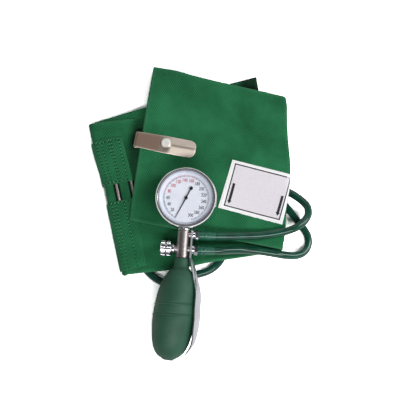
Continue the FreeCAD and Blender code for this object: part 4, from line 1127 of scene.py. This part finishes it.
def label_curl(x, y):
    """How far two of the label's corners stand up."""
    return 0.7 * hill(x, y, 29.2, 1.1, 13, 15) + 0.4 * hill(x, y, 48, 46, 12, 10)


def on_border(place):
    """A place as shares of the printed border's frame, by four steps towards it."""
    u = v = 0.5
    a, b, c, d = border_corners
    for _ in range(4):
        far, near = a.lerp(b, u), d.lerp(c, u)
        off = place - far.lerp(near, v)
        along = (b - a).lerp(c - d, v)
        down = near - far
        scale = along.x * down.y - along.y * down.x
        u += (off.x * down.y - off.y * down.x) / scale
        v += (along.x * off.y - along.y * off.x) / scale
    return u, v


def label_place(u, v):
    """A place in the middle of the label by its shares, and the flat place it comes from."""
    far = label_corners[0].lerp(label_corners[1], u)
    near = label_corners[3].lerp(label_corners[2], u)
    flat = far.lerp(near, v)
    ragged = 0.45 * noise.noise(Vector((u * 60, 2.2, 0)))
    flat.y -= ragged * smooth_step((v - 0.97) / 0.03)
    return on_tail(flat, label_gap + label_half + label_curl(*flat)), flat


label_rows = []
for u in crowded(48, 0.7):
    row = []
    for v in crowded(40, 0.7):
        place, flat = label_place(u, v)
        gap = min(u, 1 - u, v, 1 - v) * label_size
        row.append((place, label_half * rounded(gap, 0.3), on_border(flat), 0.0))
    label_rows.append(row)

# Woven polyester satin: faint lilac white with a fine cross weave, and a whiter selvedge.
label_satin, tree, shader = new_material("woven_satin_label", Roughness=0.75, Sheen_Weight=0.1)
place = add(tree, "ShaderNodeSeparateXYZ",
            links={"Vector": add(tree, "ShaderNodeTexCoord").outputs["UV"]})
inside = None
for axis in "XY":
    for edge, compare in ((0.0, "GREATER_THAN"), (1.0, "LESS_THAN")):
        test = add(tree, "ShaderNodeMath", {1: edge}, {0: place.outputs[axis]}, operation=compare)
        inside = test.outputs[0] if inside is None else add(
            tree, "ShaderNodeMath", links={0: inside, 1: test.outputs[0]},
            operation="MULTIPLY").outputs[0]
weft = cloud(tree, 1.1, 3)
face = add(tree, "ShaderNodeMix", links={
    "Factor": inside, "A": between(tree, weft, "#F8F9FB", "#FFFFFF", 0.3, 0.7),
    "B": between(tree, weft, "#E2DCE4", "#ECE7EE", 0.3, 0.7)}, data_type="RGBA")
tree.links.new(face.outputs["Result"], shader.inputs["Base Color"])
relief(tree, shader, weft, 0.08, 0.6)
label = smooth(show("label_cloth", sheet_mesh("label_cloth", label_rows), label_satin), 60)

# Screen ink: near black with a violet cast, matt, and thin where the weave shows through.
screen_ink = mottled("screen_print_ink", 0.8, ("#141118", "#332D36", 0.3, 0.9), Roughness=0.7)
border_half, arrow_half, arrow_head, arrow_neck = 0.55, 1.25, 2.1, 3.4
arrow_lines = ((Vector((44.9, 25.1)), Vector((39.4, 5.0))),
               (Vector((91.3, 12.6)), Vector((85.6, -6.9))))


def printed(solid, rows):
    """Ink laid on the label along rows of two places each."""
    verts = [[solid.verts.new(on_tail(place, label_gap + 2 * label_half + print_gap
                                      + label_curl(*place)) * MM) for place in row]
             for row in rows]
    for one, other in zip(verts, verts[1:]):
        solid.faces.new((one[0], other[0], other[1], one[1]))


def print_line(solid, a, b, half, steps=24):
    side = (b - a).normalized().orthogonal() * half
    printed(solid, [(a.lerp(b, k / steps) - side, a.lerp(b, k / steps) + side)
                    for k in range(steps + 1)])


ink = bmesh.new()
for a, b in zip(border_corners, border_corners[1:] + border_corners[:1]):
    reach = (b - a).normalized() * border_half
    print_line(ink, a - reach, b + reach, border_half)
for tail, tip in arrow_lines:
    ahead = (tip - tail).normalized()
    neck = tip - ahead * arrow_neck
    print_line(ink, tail, neck, arrow_half, 10)
    head = [(neck.lerp(tip, k / 5), ahead.orthogonal() * arrow_head * min(1, 1.02 - k / 5))
            for k in range(6)]
    printed(ink, [(middle - side, middle + side) for middle, side in head])
label_print = show("label_print", mesh_of("label_print", ink), screen_ink)
# A wall below the thin print, so that it is a closed solid
wall = label_print.modifiers.new("wall", "SOLIDIFY")
wall.thickness = 0.16 * MM
wall.offset = -1.0

white_thread = mottled("white_polyester_thread", 2, ("#D4D4DC", "#E6E6EC"), Roughness=0.55)
seam_inset = 0.028
low, high = seam_inset, 1 - seam_inset
seam_corners = ((low, low), (high, low), (high, high), (low, high))
label_seam = [[label_place(a + (c - a) * k / 30, b + (d - b) * k / 30)[0]
               + Vector((0, 0, label_half)) for k in range(31)]
              for (a, b), (c, d) in zip(seam_corners, seam_corners[1:] + seam_corners[:1])]
label_stitches = grow("label_stitches", wire("label_seam", label_seam), stitch_tree,
                      Pitch=2.4 * MM, Stitch=1.7 * MM, Thread=0.35 * MM, Material=white_thread)
for piece in (label_print, label_stitches):
    belong(piece, "label_cloth")
belong(label, "label_cloth", "label")


# ---------------------------------------------------------------- gauge case and movement
# A drawn steel cup in satin chrome with a bronze capsule and a brass movement inside. The
# plates were blanked from rolled brass, and the arbors ground from steel.
satin_chrome = bare_metal("satin_chrome_plate", "#9D9696", "#AFA8A8", 0.4, 3)
rolled_brass = bare_metal("rolled_brass", "#A8854F", "#B8945D", 0.3, 4)
spun_bronze = bare_metal("spun_phosphor_bronze", "#986E45", "#A87E50", 0.3, 4)
ground_steel = bare_metal("ground_steel", "#858587", "#979799", 0.25, 3)
dress(satin_chrome, "gauge_case", "stem_body")
dress(rolled_brass, "sector_gear", "movement_base", "movement_bridge", "air_block")
dress(spun_bronze, "capsule")
dress(ground_steel, "pinion_arbor", "hairspring", "lift_pin")


# ---------------------------------------------------------------- dial
# A steel plate and its spacer ring in white enamel, pad printed with a scale of 20 to 300
# in twos, numbered in twenties. The middle of the range is printed red.
unit_place = (Matrix.Translation(millimetres(-1.1, 6.1, 30.6825))
              @ Matrix.Rotation(math.radians(-4.0), 4, "Z")
              @ Matrix.Rotation(math.radians(5.2), 4, "X"))
dial_top, print_lift = 7.2, 0.02
zero_angle, turn_per_unit = 204.0, 317.4 / 300
number_radius, number_height, number_squeeze = 17.0, 4.3, 0.78

# Stoved enamel: hard, even and faintly blue white, and a little greyer on the ring.
for name, dark, pale, node in (("white_stoved_enamel", "#E9EEFB", "#F0F4FF", "dial_plate"),
                               ("grey_white_stoved_enamel", "#CDD3E1", "#D5DBE8",
                                "dial_spacer_ring")):
    dress(mottled(name, 9, (dark, pale), (0.45, 0.55, 5), Specular_IOR_Level=0.3), node)

# Pad printing inks: flat and matt, a little mottled where the pad lifted.
black_print, red_print, blue_print = (
    mottled(name, 0.7, tones, Roughness=0.6)
    for name, *tones in (("black_pad_print", "#1C1C22", "#34343C"),
                         ("red_pad_print", "#B0394E", "#C75266"),
                         ("grey_blue_pad_print", "#4E5A74", "#66718A")))


def number_angle(value):
    return math.radians(90 - zero_angle - value * turn_per_unit)


def make_numbers(name, values, material):
    """Upright numbers round the dial, a few hundredths of a millimetre thick."""
    joined = bmesh.new()
    for value in values:
        text = bpy.data.curves.new(name, "FONT")
        text.body = str(value)
        text.align_x = text.align_y = "CENTER"
        text.size = number_height * MM
        text.extrude = 0.02 * MM
        text.offset = 0.09 * MM
        text.resolution_u = 4
        writing = bpy.data.objects.new(name, text)
        mesh = bpy.data.meshes.new_from_object(writing)
        bpy.data.objects.remove(writing)
        angle = number_angle(value)
        place = millimetres(number_radius * math.cos(angle), number_radius * math.sin(angle),
                            dial_top + print_lift)
        mesh.transform(unit_place @ Matrix.Translation(place)
                       @ Matrix.Diagonal((number_squeeze, 1, 1, 1)))
        joined.from_mesh(mesh)
    bmesh.ops.remove_doubles(joined, verts=joined.verts, dist=1e-7)
    return show(name, mesh_of(name, joined), material)


def make_tick_tree():
    """Short bars across an arc, evenly spaced and each square to it."""
    tree, given, out = group_tree("scale_marks", Radius="Float", Start="Float", Sweep="Float",
                                  Count="Int", Length="Float", Width="Float",
                                  Material="Material")
    arc = add(tree, "GeometryNodeCurveArc", {"Resolution": 128},
              {"Radius": given["Radius"], "Start Angle": given["Start"],
               "Sweep Angle": given["Sweep"]})
    paced = add(tree, "GeometryNodeResampleCurve", links={"Curve": arc.outputs["Curve"],
                                                          "Count": given["Count"]}, mode="COUNT")
    size = add(tree, "ShaderNodeCombineXYZ", {"Z": 0.04 * MM},
               {"X": given["Width"], "Y": given["Length"]})
    bar = add(tree, "GeometryNodeMeshCube", links={"Size": size.outputs["Vector"]})
    return repeat(tree, given, out, paced.outputs["Curve"], bar.outputs["Mesh"])


tick_tree = make_tick_tree()
dial_prints = [
    make_numbers("dial_numbers_low", (20, 40, 60), black_print),
    make_numbers("dial_numbers_middle", (80, 100, 120, 140, 160), red_print),
    make_numbers("dial_numbers_high", (180, 200, 220, 240, 260, 280, 300), black_print),
]
# First and last value, step, radius, length and width of the marks, and their ink
mark_rows = (
    ("low", 0, 74, 2, 21.25, 1.3, 0.3, blue_print),
    ("red", 76, 170, 2, 21.25, 1.3, 0.3, red_print),
    ("high", 172, 300, 2, 21.25, 1.3, 0.3, blue_print),
    ("tens", 0, 300, 10, 20.9, 2.0, 0.34, blue_print),
    ("track", 0, 300, 1, 20.5, 0.14, 0.42, blue_print),
)
for row_name, first, last, step, radius, length, width, material in mark_rows:
    marks = grow("dial_marks_" + row_name, bpy.data.meshes.new("marks"), tick_tree,
                 Radius=radius * MM, Start=number_angle(first),
                 Sweep=number_angle(last) - number_angle(first),
                 Count=(last - first) // step + 1, Length=length * MM, Width=width * MM,
                 Material=material)
    marks.data.transform(unit_place @ Matrix.Translation(millimetres(0, 0,
                                                                     dial_top + print_lift)))
    dial_prints.append(marks)
for piece in dial_prints:
    belong(piece, "pointer_black")


# ---------------------------------------------------------------- pointer
# Blanked from thin brass and lacquered black, with a long tail weight and a pressed hub.
# It turns over the dial on the pinion's arbor.
dress(mottled("black_pointer_lacquer", 3, ("#101116", "#1D1F26"), Roughness=0.35), "pointer")


# ---------------------------------------------------------------- lens and bezel
# A flat clear acrylic lens that lets the lamps through to the dial, under a screwed ring
# spun from brass and bright chromed.
lens_acrylic, tree, shader = new_material("clear_acrylic_lens", IOR=1.49, Roughness=0.02,
                                          Transmission_Weight=1.0)
shader.inputs["Base Color"].default_value = linear("#FFFFFF")
path = add(tree, "ShaderNodeLightPath")
clear = add(tree, "ShaderNodeBsdfTransparent")
lighting = add(tree, "ShaderNodeMath", links={0: path.outputs["Is Shadow Ray"],
                                              1: path.outputs["Is Diffuse Ray"]},
               operation="MAXIMUM")
mix = add(tree, "ShaderNodeMixShader", links={
    0: lighting.outputs[0], 1: shader.outputs[0], 2: clear.outputs[0]})
tree.links.new(mix.outputs[0], tree.nodes["Material Output"].inputs["Surface"])
dress(lens_acrylic, "lens")
bright_chrome = bare_metal("bright_chrome_plate", "#DCDCE2", "#E6E6EB", 0.14, 6)

# Spun and plated brass: bright outside, and a dull grey lip that the plating missed inside.
spun_chrome, tree, shader = new_material("spun_chrome_plate")
bezel_middle = unit_place @ millimetres(0, 0, 12.5)
reach = add(tree, "ShaderNodeVectorMath", {1: bezel_middle},
            {0: add(tree, "ShaderNodeTexCoord").outputs["Object"]}, operation="DISTANCE")
outside = add(tree, "ShaderNodeMapRange", {"From Min": 26.3 * MM, "From Max": 26.7 * MM},
              {"Value": reach.outputs["Value"]}).outputs["Result"]
ring = add(tree, "ShaderNodeMix", links={
    "Factor": outside, "A": between(tree, cloud(tree, 4), "#5C5A60", "#6C6A70"),
    "B": between(tree, cloud(tree, 6), "#E9E9ED", "#F4F4F7")}, data_type="RGBA")
tree.links.new(ring.outputs["Result"], shader.inputs["Base Color"])
tree.links.new(outside, shader.inputs["Metallic"])
dull = add(tree, "ShaderNodeMapRange", {"To Min": 0.6, "To Max": 0.13}, {"Value": outside})
tree.links.new(dull.outputs["Result"], shader.inputs["Roughness"])
dress(spun_chrome, "bezel_ring")
dress(bright_chrome, "neck_collar")


# ---------------------------------------------------------------- nipples and release valve
# Turned brass, bright chromed: two barbed nipples with rounded hexagons, the valve's collar
# and its fluted knob. The needle is steel, and its seal is black rubber.
dress(bright_chrome, "hose_nipple_upper", "hose_nipple_lower", "valve_body", "valve_knob")
dress(ground_steel, "valve_needle")
dress(black_rubber, "valve_seal", "outlet_valve")


# ---------------------------------------------------------------- thumb spoon
# Pressed from sheet and chromed: it is clamped under both nipples and cups the bulb. The
# thumb has kept the cup polished, and the strap at its top is duller.
spoon_chrome, tree, shader = new_material("polished_chrome_sheet", Metallic=1.0)
tree.links.new(between(tree, cloud(tree, 12), "#C4C4CA", "#CECED4"), shader.inputs["Base Color"])
place = add(tree, "ShaderNodeSeparateXYZ",
            links={"Vector": add(tree, "ShaderNodeTexCoord").outputs["Object"]})
dull = add(tree, "ShaderNodeMapRange", {"From Min": -66 * MM, "From Max": -56 * MM,
                                        "To Min": 0.21, "To Max": 0.46},
           {"Value": place.outputs["Y"]})
tree.links.new(dull.outputs["Result"], shader.inputs["Roughness"])
dress(spoon_chrome, "thumb_spoon", sharp=40)


# ---------------------------------------------------------------- bulb
# Moulded natural rubber, dark green and matt with a pale bloom. Its neck grips the stem's
# spigot, its body sags to one side, and two fine ribs run round it.
bulb_profile = ((7.6, 65.5), (12.2, 70.5), (16.9, 82.5), (19.5, 97.5), (20.2, 112.9),
                (19.3, 123.5), (16.7, 137.5), (12.2, 146.5), (4.6, 152.0))
bulb_neck = ((4.0, 58.5), (4.0, 56.7), (4.5, 56.6), (6.2, 56.6), (6.6, 56.9), (6.72, 57.4),
             (7.1, 61.3))
bulb_end = ((4.0, 152.1), (3.95, 150.0))
# Height, distance and half width of each rib's crest and of the grooves beside it
bulb_ribs, rib_form = (100.1, 110.3), ((0.62, 0, 0.4), (-0.3, 1.2, 0.45))
bulb_unevenness, mould_line = 0.1, 0.12
body_top, body_foot = 70, 150
swing_start, swing = 61.0, math.radians(-3.8)


def through(points, steps):
    """Places on a smooth line through the given ones."""
    ends = [points[0], *points, points[-1]]
    line = []
    for a, b, c, d in zip(ends, ends[1:], ends[2:], ends[3:]):
        for k in range(steps):
            t = k / steps
            line.append(tuple(0.5 * (2 * q + (r - p) * t + (2 * p - 5 * q + 4 * r - s) * t * t
                                     + (3 * q - p - 3 * r + s) * t ** 3)
                              for p, q, r, s in zip(a, b, c, d)))
    return line + [points[-1]]


def make_bulb():
    sides, rings = 72, []
    for radius, down in [*bulb_neck, *through(bulb_profile, 36), *bulb_end]:
        swung = smooth_step((down - 58) / 8)
        aside = (down - swing_start) * math.tan(swing) * swung if down > swing_start else 0.0
        ring = []
        for k in range(sides):
            turn = math.tau * k / sides
            bulge = 0.0
            if body_top < down < body_foot:
                bulge = sum(bumps(abs(down - rib), rib_form) for rib in bulb_ribs)
                bulge += bulb_unevenness * noise.noise(Vector((math.cos(turn), math.sin(turn),
                                                               down / 25)))
                bulge += mould_line * math.exp(-(math.sin(turn) * radius / 0.5) ** 2)
            ring.append(unit_place @ millimetres((radius + bulge) * math.cos(turn) + aside, -down,
                                                 (radius + bulge) * math.sin(turn)))
        rings.append(ring)
    return smooth(show("bulb_rubber", loft("bulb_rubber", rings), moulded_rubber), 50)


moulded_rubber, tree, shader = new_material("moulded_natural_rubber", IOR=1.52,
                                            Specular_IOR_Level=0.35)
grain = cloud(tree, 1.2, 4)
bloom_and_highlight = add(tree, "ShaderNodeMix", {"Factor": 0.25}, {"A": cloud(tree, 22), "B": grain})
tree.links.new(between(tree, bloom_and_highlight.outputs["Result"], "#264F3D", "#305C48"),
               shader.inputs["Base Color"])
uneven(tree, shader, 0.5, 0.62, 10)
relief(tree, shader, grain, 0.05, 0.5)
bulb = make_bulb()
belong(bulb, "bulb_rubber", "bulb")
dress(bright_chrome, "bulb_end_valve")
dress(ground_steel, "inlet_ball")


# ---------------------------------------------------------------- studio
# A white sweep of paper, a strong narrow lamp in front, weaker ones on the right and behind,
# and a room with white walls low down that is dim overhead and on the left.
def make_floor():
    bpy.ops.mesh.primitive_plane_add(size=6)
    floor = bpy.context.object
    floor.name = "studio_floor"
    material = bpy.data.materials.new("studio_paper")
    material.use_nodes = True
    tree = material.node_tree
    tree.nodes.clear()
    path = add(tree, "ShaderNodeLightPath")
    mirrored = add(tree, "ShaderNodeMath", links={0: path.outputs["Is Glossy Ray"],
                                                  1: path.outputs["Is Transmission Ray"]},
                   operation="MAXIMUM")
    bounced = add(tree, "ShaderNodeMapRange", {"To Min": 0.7, "To Max": 0.95},
                  {"Value": mirrored.outputs[0]})
    white = add(tree, "ShaderNodeMix", {"B": 3.0}, {"Factor": path.outputs["Is Camera Ray"],
                                                    "A": bounced.outputs["Result"]})
    paper = add(tree, "ShaderNodeBsdfDiffuse", links={"Color": white.outputs["Result"]})
    add(tree, "ShaderNodeOutputMaterial", links={"Surface": paper.outputs[0]})
    floor.data.materials.append(material)
    floor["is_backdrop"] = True


def make_lamp(name, place, size, power):
    lamp = bpy.data.lights.new(name, "AREA")
    lamp.shape = "RECTANGLE"
    lamp.size, lamp.size_y = size
    lamp.energy = power
    thing = bpy.data.objects.new(name, lamp)
    thing.location = place
    thing.rotation_euler = (camera_target - Vector(place)).to_track_quat("-Z", "Y").to_euler()
    bpy.context.scene.collection.objects.link(thing)


make_floor()
make_lamp("front_softbox", (0.12, -0.74, 1.1), (1.2, 0.22), 11)
make_lamp("right_softbox", (0.95, 0.1, 0.9), (0.3, 0.8), 8)
make_lamp("back_softbox", (0.1, 1.0, 0.95), (0.8, 0.16), 1.2)

world = bpy.data.worlds.new("studio_room")
world.use_nodes = True
tree = world.node_tree
direction = add(tree, "ShaderNodeSeparateXYZ",
                links={"Vector": add(tree, "ShaderNodeTexCoord").outputs["Generated"]})
overhead = add(tree, "ShaderNodeMapRange", {"From Min": -0.8, "From Max": 0.8, "To Min": 0.02,
                                            "To Max": 0.08}, {"Value": direction.outputs["X"]})
low_down = add(tree, "ShaderNodeMapRange", {"From Min": 0.45, "From Max": 0.1},
               {"Value": direction.outputs["Z"]})
wall = add(tree, "ShaderNodeMapRange", {"From Min": -0.8, "From Max": 0.5, "To Min": 0.5,
                                        "To Max": 1.0}, {"Value": direction.outputs["X"]})
strength = add(tree, "ShaderNodeMix", links={"Factor": low_down.outputs["Result"],
                                             "A": overhead.outputs["Result"],
                                             "B": wall.outputs["Result"]})
room = tree.nodes["Background"]
room.inputs["Color"].default_value = (1, 1, 1, 1)
tree.links.new(strength.outputs["Result"], room.inputs["Strength"])
bpy.context.scene.world = world
bpy.context.scene.view_settings.view_transform = "Standard"

low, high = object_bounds()
